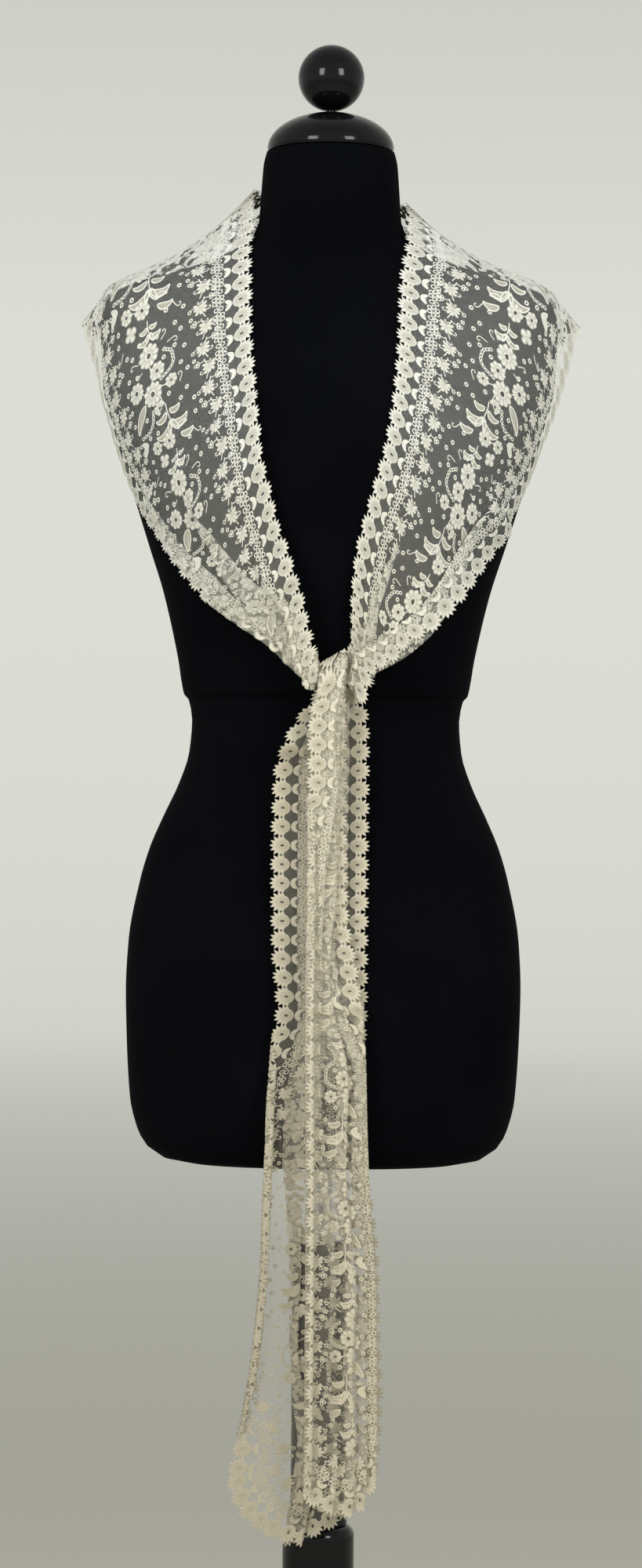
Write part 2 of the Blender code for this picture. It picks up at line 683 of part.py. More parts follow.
def make_worn_cloth(material):
    """The shawl's back and its two fronts: one wall each, parted at the shoulders."""
    shoulder = 214.0
    sides = {
        "left": worn_side("left", LEFT_SIDE, LEFT_FOLDS),
        "right": worn_side("right", RIGHT_SIDE, RIGHT_FOLDS),
    }
    for name, stretch in sides.items():
        last = stretch.along[-1]
        rows = spaced(shoulder + SEAM_GAP, 422, 26) + spaced(434, 470, 12) + spaced(487, last, 18)
        flat, faces = wall_mesh(stretch, rows, 0)
        add_object("shawl_front_" + name, *closed_wall(stretch, flat, faces), material)
    back = joined_back(sides["left"], sides["right"])
    flat, faces = wall_mesh(back, spaced(-shoulder, shoulder, 17), 0)
    add_object("shawl_back", *closed_wall(back, flat, faces), material)


def joined_back(left, right):
    """The back as one stretch, its places running from the left shoulder over the middle to the right."""
    points = np.concatenate([left.points[:0:-1], right.points])
    along = np.concatenate([-left.along[:0:-1], right.along])
    kept = np.abs(along) < 240
    return Stretch(along[kept], right.across, points[kept], None)


def make_tails(material):
    rear = hanging_tail(REAR_TAIL, REAR_TAIL_FOLDS, rear_path, -1)
    last = rear.along[-1]
    rows = spaced(0, 75, 15) + spaced(110, last - END_LENGTH, 48) + [last - END_LENGTH / 2, last]
    flat, faces = wall_mesh(rear, rows, len(rows) - 3)
    add_object("shawl_tail_rear", *closed_wall(rear, flat, faces), material)
    front = hanging_tail(FRONT_TAIL, FRONT_TAIL_FOLDS, front_path, -1)
    slanted_top(front.points)
    front = Stretch(front.along, front.across, front.points, front.turns)
    last = front.along[-1]
    over = math.pi * OVER_RADIUS
    rows = spaced(0, over, over / 5) + [over + 16] + spaced(over + 45, last - END_LENGTH, 48)
    rows += [last - END_LENGTH / 2, last]
    flat, faces = wall_mesh(front, rows, len(rows) - 3)
    add_object("shawl_tail_front", *closed_wall(front, flat, faces), material)


def make_knot(material):
    """The crossing strand inside the knot: a short ridged bar that the front tail turns over."""
    levels = 1 + 4 * STRAP_RIDGES
    middle = (STRAP_FRONT + STRAP_BACK) / 2
    profile = []
    for side in (1, -1):
        for level in range(levels):
            share = level / (levels - 1) if side > 0 else 1 - level / (levels - 1)
            ridge = STRAP_RIDGE_DEPTH * math.cos(2 * math.pi * STRAP_RIDGES * share)
            half = (STRAP_FRONT - STRAP_BACK) / 2 - 0.7 - ridge - 2.0 * abs(2 * share - 1) ** 4
            profile.append((-middle - side * half, STRAP_BOTTOM + (STRAP_TOP - STRAP_BOTTOM) * share))
    points = [(x, y, z) for x in (STRAP_LEFT, STRAP_RIGHT) for y, z in profile]
    count = len(profile)
    faces = [list(range(count)), list(range(2 * count - 1, count - 1, -1))]
    for k in range(count):
        after = (k + 1) % count
        faces.append([after, k, k + count, after + count])
    return add_object("shawl_knot", points, faces, material)


def main():
    for obj in list(bpy.data.objects):
        bpy.data.objects.remove(obj)
    jersey = make_material("jersey", (0.006, 0.007, 0.011), 0.9)
    lacquer = make_material("lacquer", (0.005, 0.005, 0.006), 0.12)
    metal = make_material("pole_metal", (0.5, 0.5, 0.5), 0.3, 1.0)
    lace = make_material("lace", (0.83, 0.79, 0.7), 0.8)
    make_torso(jersey)
    make_stand(lacquer, metal)
    make_worn_cloth(lace)
    make_tails(lace)
    make_knot(lace)


main()
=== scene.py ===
"""Looks of a long lace shawl worn over a black dress form and tied once at the breast.

Sizes and tables are in millimetres and become metres when a mesh is made. +Z is up, the wearer faces -Y,
and "left" and "right" are the viewer's, facing the form. The cloth lies in stretches, each a fine grid of
points over its flat cut: "along" runs down the shawl and "across" from one long edge to the other. The net
is a sheet read from that grid. The lace worked on it is laid out flat, shape by shape, and carried onto the
same grid.
"""

import math

import bpy
import numpy as np
from bpy.props import FloatProperty, FloatVectorProperty, PointerProperty
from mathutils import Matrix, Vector


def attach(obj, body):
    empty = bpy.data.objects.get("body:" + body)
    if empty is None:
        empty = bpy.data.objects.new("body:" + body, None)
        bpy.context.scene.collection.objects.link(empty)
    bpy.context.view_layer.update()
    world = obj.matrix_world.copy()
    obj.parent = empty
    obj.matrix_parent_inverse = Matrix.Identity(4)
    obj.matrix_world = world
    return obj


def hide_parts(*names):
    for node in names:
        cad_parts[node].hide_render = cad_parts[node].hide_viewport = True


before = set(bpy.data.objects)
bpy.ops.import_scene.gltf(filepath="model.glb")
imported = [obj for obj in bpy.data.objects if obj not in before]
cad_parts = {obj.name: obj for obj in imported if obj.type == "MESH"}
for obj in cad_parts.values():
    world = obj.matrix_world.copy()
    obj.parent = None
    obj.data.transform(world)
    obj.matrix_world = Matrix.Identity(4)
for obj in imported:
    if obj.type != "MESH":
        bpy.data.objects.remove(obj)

bl_info = {
    "name": "Lace shawl on a dress form",
    "version": (1, 0, 0),
    "blender": (4, 5, 0),
    "location": "View3D > Sidebar > Lace shawl",
    "description": "Makes a worn lace shawl, its dress form and a plain studio",
    "category": "Add Mesh",
}

MM = 0.001

# The shawl as it was cut. Its ends are rounded over END_LENGTH, and insets are counted from its edge.
SHAWL_WIDTH = 170.0
HALF_WIDTH = SHAWL_WIDTH / 2
END_LENGTH = 78.0
END_SQUARE = 88.0
NET_INSET = 8.0
SPRIG_INSET = 41.0
BOUQUET_END_INSET = 52.0
LACE_LIFT = 0.08

# How the cloth lies. It stands further off the form at the shoulders' tips and round the neck.
CLEARANCE = 3.0
TIP_CLEARANCE = 3.0
TIP_X, TIP_Z = 182.0, 1418.0
TIP_REACH = 35.0
NECK_CLEARANCE = 1.5
NECK_START = 1460.0
NECK_RISE = 20.0
MOST_LIFT = 8.0
PROBE = 0.5
TAUT_PASSES = 120
TURN_RADIUS = 1.0
FULL_TURN_OVERLAP = 6.0
WIDTH_TRIALS = 22
GATHER_PITCH = 42.0
GATHER_DEPTH = 4.5
GATHER_REACH = 225.0
GATHER_FADE = 40.0
GATHER_INSET = 5.0
SHOULDER = 214.0
BACK_REACH = 240.0

# Spacing of the fine grids
ALONG_STEP = 5.0
ACROSS_STEP = 0.5
BASE_COLUMNS = 25
WORN_NET_COLUMNS = 78
TAIL_NET_COLUMNS = 155
NET_STEP = 5.0
UV_UNIT = 100.0

# The form's hard parts
NECK_TOP = 1550.0
CAP_RADIUS = 55.0
CAP_HEIGHT = 34.5
CAP_EDGE = 3.0
BALL_RADIUS = 28.7
BALL_CENTRE = 1615.0
STEM_RADIUS = 4.0
TORSO_BOTTOM = 676.0
TORSO_SIDES = 128
POLE_RADIUS = 9.5
COLUMN_TOP = 608.0
BASE_RADIUS = 225.0
BASE_HEIGHT = 24.0
PART_GAP = 0.3
TURNED_SIDES = 96
SHARP_ANGLE = 35.0

# The strand that crosses in the knot
KNOT_LEFT, KNOT_RIGHT = -6.5, 15.0
KNOT_BOTTOM, KNOT_HEIGHT = 1070.0, 17.0
KNOT_FORWARD = 112.6
KNOT_ROWS, KNOT_COLUMNS = 49, 30

# The studio, in metres
LIGHTS = (("left_soft_box", -1.7), ("right_soft_box", 1.8))
LIGHT_FORWARD, LIGHT_HEIGHT, LIGHT_AIM = 2.6, 2.35, 1.1
LIGHT_SIZE = (0.9, 1.2)
SKY_COLOUR = (0.97, 0.98, 1.0, 1)
SENSOR = 36.0
PICTURE_HEIGHT = 1.36
VIEW_X, VIEW_HEIGHT, VIEW_ROLL = -0.0035, 1.003, -0.52

# The paper round the stand
SWEEP_START, SWEEP_RADIUS, WALL_TOP = 11000.0, 3000.0, 16000.0
FLOOR_DROP = 0.5


class Table:
    """Rows of sizes. The first column says where along the piece each row stands, and rises."""

    def __init__(self, names, *rows):
        self.names = names.split()
        self.rows = np.array(rows, float)

    def read(self, name, at):
        """A column's value at each place, on a smooth curve that never overshoots the rows."""
        return smooth_curve(self.rows[:, 0], self.rows[:, self.names.index(name)], at)

    def read_each(self, names, at):
        return [self.read(name, at) for name in names.split()]


FORM = Table(
    "height half_width front back squareness",
    (676, 118, 70, 78, 2.3),
    (680, 138, 84, 92, 2.3),
    (690, 152, 94, 103, 2.3),
    (704, 160, 99, 110, 2.3),
    (731, 166.6, 103, 116, 2.3),
    (785, 170, 106, 122, 2.3),
    (826, 171, 106, 124, 2.3),
    (867, 169, 105, 123, 2.3),
    (921, 159, 100, 113, 2.3),
    (948, 151, 96, 106, 2.25),
    (976, 139, 91, 97, 2.2),
    (1003, 126.5, 85, 88, 2.2),
    (1030, 118, 81, 81, 2.2),
    (1057, 115.8, 80, 78.5, 2.2),
    (1075, 119, 82, 80, 2.2),
    (1080, 123, 86, 84, 2.2),
    (1111, 128.5, 93, 86, 2.2),
    (1166, 141, 106, 90, 2.25),
    (1207, 154, 115, 93, 2.3),
    (1248, 167, 121, 96, 2.3),
    (1288, 180, 120, 98, 2.35),
    (1316, 188, 113, 99, 2.4),
    (1343, 195, 103, 100, 2.5),
    (1370, 197, 92, 99, 2.55),
    (1397, 198, 82, 97, 2.6),
    (1412, 196, 76, 92, 2.5),
    (1424, 190, 70, 85, 2.4),
    (1434, 172, 66, 79, 2.3),
    (1443, 140, 63, 74, 2.2),
    (1452, 112, 60.5, 69, 2.1),
    (1463, 86, 58.5, 65, 2.05),
    (1474, 70, 58, 62, 2.0),
    (1489, 62, 58.5, 60.5, 2.0),
    (1515, 60, 58.5, 59.5, 2.0),
    (1540, 58, 56.5, 57.5, 2.0),
    (1550, 55.5, 54, 55, 2.0),
)

# Where the shawl's two long edges lie on each side, from the middle of the back to the knot. The shares say
# how the spare width is divided between the three folds that form on the way to the knot, and "hem" is how
# much of the outer border is turned under.
LEFT_SIDE = Table(
    "along inner_x inner_y inner_z outer_x outer_y outer_z share_a share_b share_c hem",
    (0, 0, 66, 1514, 0, 104, 1352, 1, 0, 0, 0),
    (105, -40, 50, 1519, -120, 94, 1360, 1, 0, 0, 0),
    (175, -59, 22, 1520, -196, 50, 1384, 1, 0, 0, 0),
    (210, -62, 6, 1514, -213, 22, 1397, 1, 0, 0, 0),
    (235, -62, -12, 1499, -216, 0, 1399, 1, 0, 0, 0),
    (270, -63, -34, 1468, -205, -7, 1366, 1, 0, 0, 0),
    (320, -64, -62, 1424, -189, -13, 1322, 1, 0, 0, 0),
    (370, -63, -86, 1378, -173, -20, 1276, 1, 0, 0, 0),
    (420, -58.5, -106, 1330, -158, -38, 1235, 1, 0, 0, 0),
    (470, -52, -121, 1281, -139, -66, 1199, 0.8, 0.2, 0, 0),
    (520, -39, -122, 1230, -111, -88, 1163, 0.55, 0.45, 0, 1),
    (560, -25, -118, 1192, -84, -99, 1142, 0.33, 0.57, 0.1, 13),
    (600, -14, -113, 1152, -51, -103, 1119, 0.25, 0.51, 0.24, 17),
    (630, -10, -108, 1123, -29, -104, 1099, 0.36, 0.33, 0.31, 16),
    (648, -7, -107, 1110, -17, -103, 1089, 0.34, 0.33, 0.33, 12),
    (660, -3, -107, 1101, -9, -105, 1080, 0.34, 0.33, 0.33, 8),
)

RIGHT_SIDE = Table(
    "along inner_x inner_y inner_z outer_x outer_y outer_z share_a share_b share_c hem",
    (0, 0, 66, 1514, 0, 104, 1352, 1, 0, 0, 0),
    (105, 40, 50, 1514, 120, 94, 1360, 1, 0, 0, 0),
    (175, 59, 22, 1509, 196, 50, 1384, 1, 0, 0, 0),
    (210, 62, 6, 1504, 215, 22, 1397, 1, 0, 0, 0),
    (235, 62, -12, 1492, 219, 0, 1400, 1, 0, 0, 0),
    (270, 60, -34, 1464, 210, -6, 1368, 1, 0, 0, 0),
    (320, 57, -62, 1424, 196, -12, 1322, 1, 0, 0, 0),
    (370, 56, -84, 1382, 177, -19, 1276, 1, 0, 0, 0),
    (420, 53, -104, 1336, 159, -38, 1236, 1, 0, 0, 0),
    (470, 46, -120, 1289, 140, -62, 1199, 1, 0, 0, 0),
    (520, 33, -122, 1240, 111, -89, 1157, 0.85, 0, 0.15, 0),
    (560, 22, -117, 1194, 83, -103, 1124, 0.75, 0, 0.25, 0),
    (600, 19, -112, 1152, 56, -106, 1103, 0.5, 0.2, 0.3, 0),
    (632, 20, -105, 1125, 39, -102, 1094, 0.37, 0.32, 0.31, 0),
    (648, 14, -104, 1112, 36, -101, 1081, 0.34, 0.33, 0.33, 0),
    (662, 8, -104, 1102, 32, -100, 1067, 0.34, 0.33, 0.33, 0),
)

# Where the three folds sit across the width on each side, and which way they lap
LEFT_FOLDS = Table(
    "along a b c",
    (0, 56, 0, -44),
    (470, 56, -2, -44),
    (520, 52, -5, -46),
    (560, 45, -9, -50),
    (600, 39, -12, -54),
    (630, 36, -10, -52),
    (660, 36, -10, -52),
)
RIGHT_FOLDS = Table(
    "along a b c",
    (0, 30, -12, -52),
    (470, 40, -5, -40),
    (560, 48, 1, -38),
    (600, 48, 1, -42),
    (645, 48, 0, -48),
    (662, 48, 0, -48),
)
SIDE_LAP = {"left": -1.0, "right": 1.0}
FOLDS = "a b c"
SHARES = "share_a share_b share_c"

# The tails, from the top down. "back" is how far forward the rearmost layer hangs, and "hem" is how much of
# the left border is turned under.
REAR_TAIL = Table(
    "drop left_x right_x back hem share_a share_b share_c",
    (0, -10, 23, 95, 0, 0.33, 0.34, 0.33),
    (10, -13, 32, 95, 0, 0.32, 0.36, 0.32),
    (26, -25, 37, 96, 0, 0.2, 0.6, 0.2),
    (50, -38, 38, 97.5, 0, 0.08, 0.84, 0.08),
    (78, -45, 38, 99, 0, 0, 1, 0),
    (140, -46, 38, 103, 0, 0, 1, 0),
    (218, -45, 38, 108.5, 0, 0, 1, 0),
    (270, -41, 38, 108.5, 0, 0, 1, 0),
    (300, -44, 37, 108.5, 4, 0, 1, 0),
    (345, -47, 36, 108.5, 24, 0, 1, 0),
    (400, -48.5, 38, 108.5, 38, 0, 1, 0),
    (430, -49.5, 44, 108.5, 43, 0, 1, 0),
    (480, -51, 50, 108, 46, 0, 1, 0),
    (545, -56, 52, 107.5, 44, 0, 1, 0),
    (600, -64, 54, 107, 28, 0, 1, 0),
    (640, -73, 52, 107, 0, 0, 1, 0),
    (722, -92, 44, 107, 0, 0, 1, 0),
)
REAR_TAIL_TOP = 1085.5
REAR_TAIL_FOLDS = Table("along a b c", (0, -49, 0, 49), (40, -49, 0, 49), (80, -40, 2, 43), (722, -40, 2, 43))

FRONT_TAIL = Table(
    "drop left_x right_x back hem share_a share_b share_c",
    (0, -6.5, 17.5, 118, 0, 0.33, 0.34, 0.33),
    (16, -7, 17.5, 118, 0, 0.33, 0.34, 0.33),
    (30, -10.5, 17.5, 118, 0, 0.33, 0.34, 0.33),
    (44, -15, 18, 118, 0, 0.33, 0.34, 0.33),
    (62, -16, 18, 118, 0, 0.33, 0.34, 0.33),
    (100, -16, 18.5, 118, 0, 0.33, 0.34, 0.33),
    (118, -15.5, 18.5, 118, 4, 0.32, 0.34, 0.34),
    (150, -15, 19.5, 117.5, 12, 0.3, 0.35, 0.35),
    (215, -15, 22, 117, 26, 0.28, 0.36, 0.36),
    (260, -15, 30, 116.5, 32, 0.27, 0.37, 0.36),
    (310, -15, 35, 116.5, 33, 0.27, 0.37, 0.36),
    (400, -14, 38, 116.5, 33, 0.27, 0.37, 0.36),
    (460, -13.5, 41, 116.5, 33, 0.27, 0.37, 0.36),
    (530, -13, 46, 116.5, 33, 0.27, 0.37, 0.36),
    (650, -13, 48, 116.5, 33, 0.27, 0.37, 0.36),
    (715, -14, 48, 116.5, 33, 0.27, 0.37, 0.36),
)
FRONT_TAIL_TOP = 1088.0
FRONT_TAIL_FOLDS = Table(
    "along a b c",
    (0, -49.5, 0, 49.5),
    (60, -49.5, 0, 49.5),
    (130, -44, 0, 46),
    (200, -38, 6, 45),
    (270, -31, 3, 42),
    (350, -34, 8, 44),
    (430, -28, 5, 40),
    (520, -21, 10, 40),
    (600, -25, 7, 37),
    (660, -19, 10, 39),
    (715, -22, 8, 37),
)

# The tails' turned borders lie in pleats. The front tail turns over the knot, its fold rising to the right.
HEM_PLEAT = 8.5
REAR_RIGHT_HEM = Table("drop width", (0, 0), (722, 0))
FRONT_RIGHT_HEM = Table("drop width", (0, 0), (270, 0), (350, 24), (715, 24))
OVER_RADIUS = 6.0
TOP_SLANT = 0.6
SLANT_START = 1060.0
SLANT_HEIGHT = 34.0
SLANT_PIVOT = -2.0


def smooth_curve(places, values, at):
    """Cubic curve through the points, with slopes chosen so that it doesn't overshoot."""
    step = np.diff(places)
    rise = np.diff(values) / step
    before, after = rise[:-1], rise[1:]
    level = before * after <= 0
    mean = 2 * before * after / np.where(level, 1, before + after)
    slope = np.concatenate([rise[:1], np.where(level, 0, mean), rise[-1:]])
    at = np.clip(np.asarray(at, float), places[0], places[-1])
    k = np.clip(np.searchsorted(places, at, side="right") - 1, 0, len(step) - 1)
    u = (at - places[k]) / step[k]
    return (
        values[k] * (1 + 2 * u) * (1 - u) ** 2
        + slope[k] * step[k] * u * (1 - u) ** 2
        + values[k + 1] * u**2 * (3 - 2 * u)
        + slope[k + 1] * step[k] * u**2 * (u - 1)
    )


def form_level(points):
    """Under 1 inside the dress form, 1 on its surface and over 1 outside it."""
    x, y, z = points[..., 0], points[..., 1], points[..., 2]
    half_width = FORM.read("half_width", z)
    depth = np.where(y < 0, FORM.read("front", z), FORM.read("back", z))
    power = FORM.read("squareness", z)
    total = (np.abs(x) / half_width) ** power + (np.abs(y) / depth) ** power
    return np.maximum(total, 1e-9) ** (1 / power)


def lifted_clear(points):
    """The points again, with those too near the form moved out along its slope."""
    level = form_level(points)
    slope = np.empty_like(points)
    for axis in range(3):
        slope[..., axis] = (form_level(points + PROBE * np.eye(3)[axis]) - level) / PROBE
    steepness = np.maximum(np.linalg.norm(slope, axis=-1, keepdims=True), 1e-6)
    distance = (level[..., None] - 1) / steepness
    from_tip = (np.abs(points[..., :1]) - TIP_X) ** 2 + (points[..., 2:] - TIP_Z) ** 2
    neck = np.clip((points[..., 2:] - NECK_START) / NECK_RISE, 0, 1)
    clearance = CLEARANCE + TIP_CLEARANCE * np.exp(-from_tip / TIP_REACH**2) + NECK_CLEARANCE * neck
    return points + slope / steepness * np.clip(clearance - distance, 0, MOST_LIFT)


def unit(vectors):
    return vectors / np.maximum(np.linalg.norm(vectors, axis=-1, keepdims=True), 1e-9)


def summed(steps):
    """Running sums, from 0."""
    return np.concatenate([[0], np.cumsum(steps)])


def distance_along(line):
    return summed(np.linalg.norm(np.diff(line, axis=0), axis=1))


def fold_line(across, folds, overlaps, lap, hems, hem_pleat):
    """One section across the cloth: its distance sideways and its height above the lowest layer.

    Each fold turns the cloth right back for its overlap and then forward again, on round turns. The hems turn
    the first and the last edge under, to and fro in pleats of the width given."""
    turn = math.pi * TURN_RADIUS / 2
    angle = np.zeros_like(across)
    for middle, overlap in zip(folds, overlaps, strict=True):
        strength = min(1.0, overlap / FULL_TURN_OVERLAP)
        reach = overlap / 2 + turn * strength
        angle += math.pi * strength * np.clip((reach - np.abs(across - middle)) / (2 * turn) + 0.5, 0, 1)
    for hem, to_edge in zip(hems, (across + HALF_WIDTH, HALF_WIDTH - across), strict=True):
        strength = min(1.0, hem / FULL_TURN_OVERLAP)
        for count, place in enumerate(np.arange(hem, 0, -hem_pleat)):
            way = -1 if count % 2 else 1
            angle += way * math.pi * strength * np.clip((place - to_edge) / (2 * turn) + 0.5, 0, 1)
    steps = np.diff(across)
    middle_angle = (angle[1:] + angle[:-1]) / 2
    return summed(np.cos(middle_angle) * steps), summed(lap * np.sin(middle_angle) * steps)


def section_across(across, width, folds, shares, lap, hems, hem_pleat=SHAWL_WIDTH):
    """A folded section just as wide as asked, its distances counted from its left side."""
    low, high = 0.0, SHAWL_WIDTH / 2
    for _ in range(WIDTH_TRIALS):
        spare = (low + high) / 2
        overlaps = [share * spare for share in shares]
        sideways, height = fold_line(across, folds, overlaps, lap, hems, hem_pleat)
        start, end = np.interp([hems[0] - HALF_WIDTH, HALF_WIDTH - hems[1]], across, sideways)
        low, high = (spare, high) if end - start > width else (low, spare)
    sideways = (sideways - sideways.min()) * width / np.ptp(sideways)
    return sideways, height - height.min()


class Stretch:
    """A length of the shawl as a fine grid of points over its flat cut."""

    def __init__(self, along, across, points, face):
        self.along, self.across, self.points = along, across, points
        down = np.gradient(points, along, axis=0)
        over = np.gradient(points, across, axis=1)
        self.normals = unit(np.cross(over, down)) * face

    def read(self, grid, along, across):
        """Values of a grid between its points, at places in the flat cut."""
        i = np.clip((along - self.along[0]) / (self.along[1] - self.along[0]), 0, len(self.along) - 1.001)
        j = np.clip((across - self.across[0]) / ACROSS_STEP, 0, len(self.across) - 1.001)
        row, column = i.astype(int), j.astype(int)
        u, v = (i - row)[..., None], (j - column)[..., None]
        return (
            grid[row, column] * (1 - u) * (1 - v)
            + grid[row + 1, column] * u * (1 - v)
            + grid[row, column + 1] * (1 - u) * v
            + grid[row + 1, column + 1] * u * v
        )

    def placed(self, along, across, height):
        """Places in the flat cut, each lifted off the cloth's face by its height."""
        middle = self.read(self.points, along, across)
        return middle + unit(self.read(self.normals, along, across)) * height[..., None]


def flat_grid(table):
    """The places along and across the flat cut where a stretch has its points, and room for them."""
    last = table.rows[-1, 0]
    along = np.linspace(0, last, int(last / ALONG_STEP) + 1)
    across = np.linspace(-HALF_WIDTH, HALF_WIDTH, int(SHAWL_WIDTH / ACROSS_STEP) + 1)
    return along, across, np.empty((len(along), len(across), 3))


def draped_base(side, along):
    """The surface that the shawl would follow with no folds: drawn taut between its edges, over the form."""
    share = np.linspace(0, 1, BASE_COLUMNS)[None, :, None]
    inner = np.stack(side.read_each("inner_x inner_y inner_z", along), axis=-1)[:, None]
    outer = np.stack(side.read_each("outer_x outer_y outer_z", along), axis=-1)[:, None]
    points = inner * (1 - share) + outer * share
    for _ in range(TAUT_PASSES):
        softer = points.copy()
        softer[1:-1, 1:-1] = points[1:-1, 1:-1] * 0.7 + (points[:-2, 1:-1] + points[2:, 1:-1]) * 0.15
        softer[:, 1:-1] = (softer[:, :-2] + softer[:, 2:]) * 0.4 + softer[:, 1:-1] * 0.2
        points = lifted_clear(softer)
    return points


def gather_height(place, across):
    """Soft gathers that take up the neck edge round the back of the neck."""
    near_back = np.clip((GATHER_REACH - abs(place)) / GATHER_FADE, 0, 1)
    near_edge = np.clip((-across - GATHER_INSET) / (HALF_WIDTH - GATHER_INSET), 0, 1) ** 1.5
    wave = 0.5 - 0.5 * math.cos(2 * math.pi * place / GATHER_PITCH)
    return GATHER_DEPTH * near_back * near_edge * wave


def worn_side(name, side, fold_table):
    """The half of the worn shawl from the middle of the back to the knot."""
    along, across, points = flat_grid(side)
    base = draped_base(side, along)
    down = np.gradient(base, along, axis=0)
    over = np.gradient(base, axis=1)
    outward = unit(np.cross(down, over)) * SIDE_LAP[name]
    for row, place in enumerate(along):
        length = distance_along(base[row])
        shares, folds = side.read_each(SHARES, place), fold_table.read_each(FOLDS, place)
        hems = (0.0, float(side.read("hem", place)))
        sideways, height = section_across(across, length[-1], folds, shares, SIDE_LAP[name], hems)
        height += gather_height(place, across)
        for axis in range(3):
            on_base = np.interp(sideways, length, base[row, :, axis])
            points[row, :, axis] = on_base + np.interp(sideways, length, outward[row, :, axis]) * height
    return Stretch(along, across, points, -SIDE_LAP[name])


def hanging_tail(tail, folds, right_hem, path):
    """A tail: folded sections set side by side down a path in the middle plane."""
    along, across, points = flat_grid(tail)
    for row, place in enumerate(along):
        left, right = tail.read_each("left_x right_x", place)
        hems = (float(tail.read("hem", place)), float(right_hem.read("width", place)))
        shares, middles = tail.read_each(SHARES, place), folds.read_each(FOLDS, place)
        sideways, height = section_across(across, right - left, middles, shares, -1, hems, HEM_PLEAT)
        start, ahead = path(place)
        points[row, :, 0] = sideways + left
        points[row, :, 1:] = start + height[:, None] * ahead
    return along, across, points


def rear_path(place):
    """The rear tail's rearmost layer hangs straight down; its other layers lie in front."""
    return np.array([-REAR_TAIL.read("back", place), REAR_TAIL_TOP - place]), np.array([-1.0, 0.0])


def front_path(place):
    """The front tail starts behind the knot, turns over it and falls."""
    fallen = max(place - math.pi * OVER_RADIUS, 0)
    back = FRONT_TAIL.read("back", fallen)
    if fallen:
        return np.array([-back, FRONT_TAIL_TOP - fallen]), np.array([-1.0, 0.0])
    turned = place / OVER_RADIUS
    ahead = np.array([math.cos(turned), math.sin(turned)])
    return np.array([-back + OVER_RADIUS, FRONT_TAIL_TOP]) + OVER_RADIUS * ahead, ahead


def rear_tail():
    return Stretch(*hanging_tail(REAR_TAIL, REAR_TAIL_FOLDS, REAR_RIGHT_HEM, rear_path), -1)


def front_tail():
    """The front tail, whose fold over the knot rises to the right."""
    along, across, points = hanging_tail(FRONT_TAIL, FRONT_TAIL_FOLDS, FRONT_RIGHT_HEM, front_path)
    rise = np.clip((points[..., 2] - SLANT_START) / SLANT_HEIGHT, 0, 1)
    points[..., 2] += TOP_SLANT * (points[..., 0] - SLANT_PIVOT) * rise * rise * (3 - 2 * rise)
    return Stretch(along, across, points, -1)


def joined_back(left, right):
    """The back as one stretch, its places running from the left shoulder over the middle to the right."""
    points = np.concatenate([left.points[:0:-1], right.points])
    along = np.concatenate([-left.along[:0:-1], right.along])
    near = np.abs(along) < BACK_REACH
    return Stretch(along[near], right.across, points[near], -1)


def end_place(last, across, inset):
    """How far down the cut reaches at each place across its round end."""
    share = np.clip(across / (END_SQUARE - inset), -1, 1)
    return last - END_LENGTH + (END_LENGTH - inset) * np.sqrt(1 - share**2)


# Shapes of the lace, laid out flat. A shape is a strip of three lanes, its middle lane raised.


def toward(angle):
    return np.array([math.cos(math.radians(angle)), math.sin(math.radians(angle))])


def curve_through(points, count):
    """A number of places on a smooth curve through the points."""
    points = np.asarray(points, float)
    at = np.linspace(0, len(points) - 1, count)
    return np.stack([smooth_curve(np.arange(len(points)), points[:, k], at) for k in range(2)], axis=1)


def place_on(line, length, place, reach):
    """A point at a distance along a line, and the line's direction there, judged over the reach."""
    at, ahead, behind = (
        np.array([np.interp(place + step, length, line[:, axis]) for axis in range(2)])
        for step in (0, reach, -reach)
    )
    return at, ahead - behind


def beside(spine, half_widths):
    """How far the left edge of a strip lies from its spine."""
    direction = unit(np.gradient(spine, axis=0))
    return np.stack([-direction[:, 1], direction[:, 0]], axis=1) * half_widths[:, None]


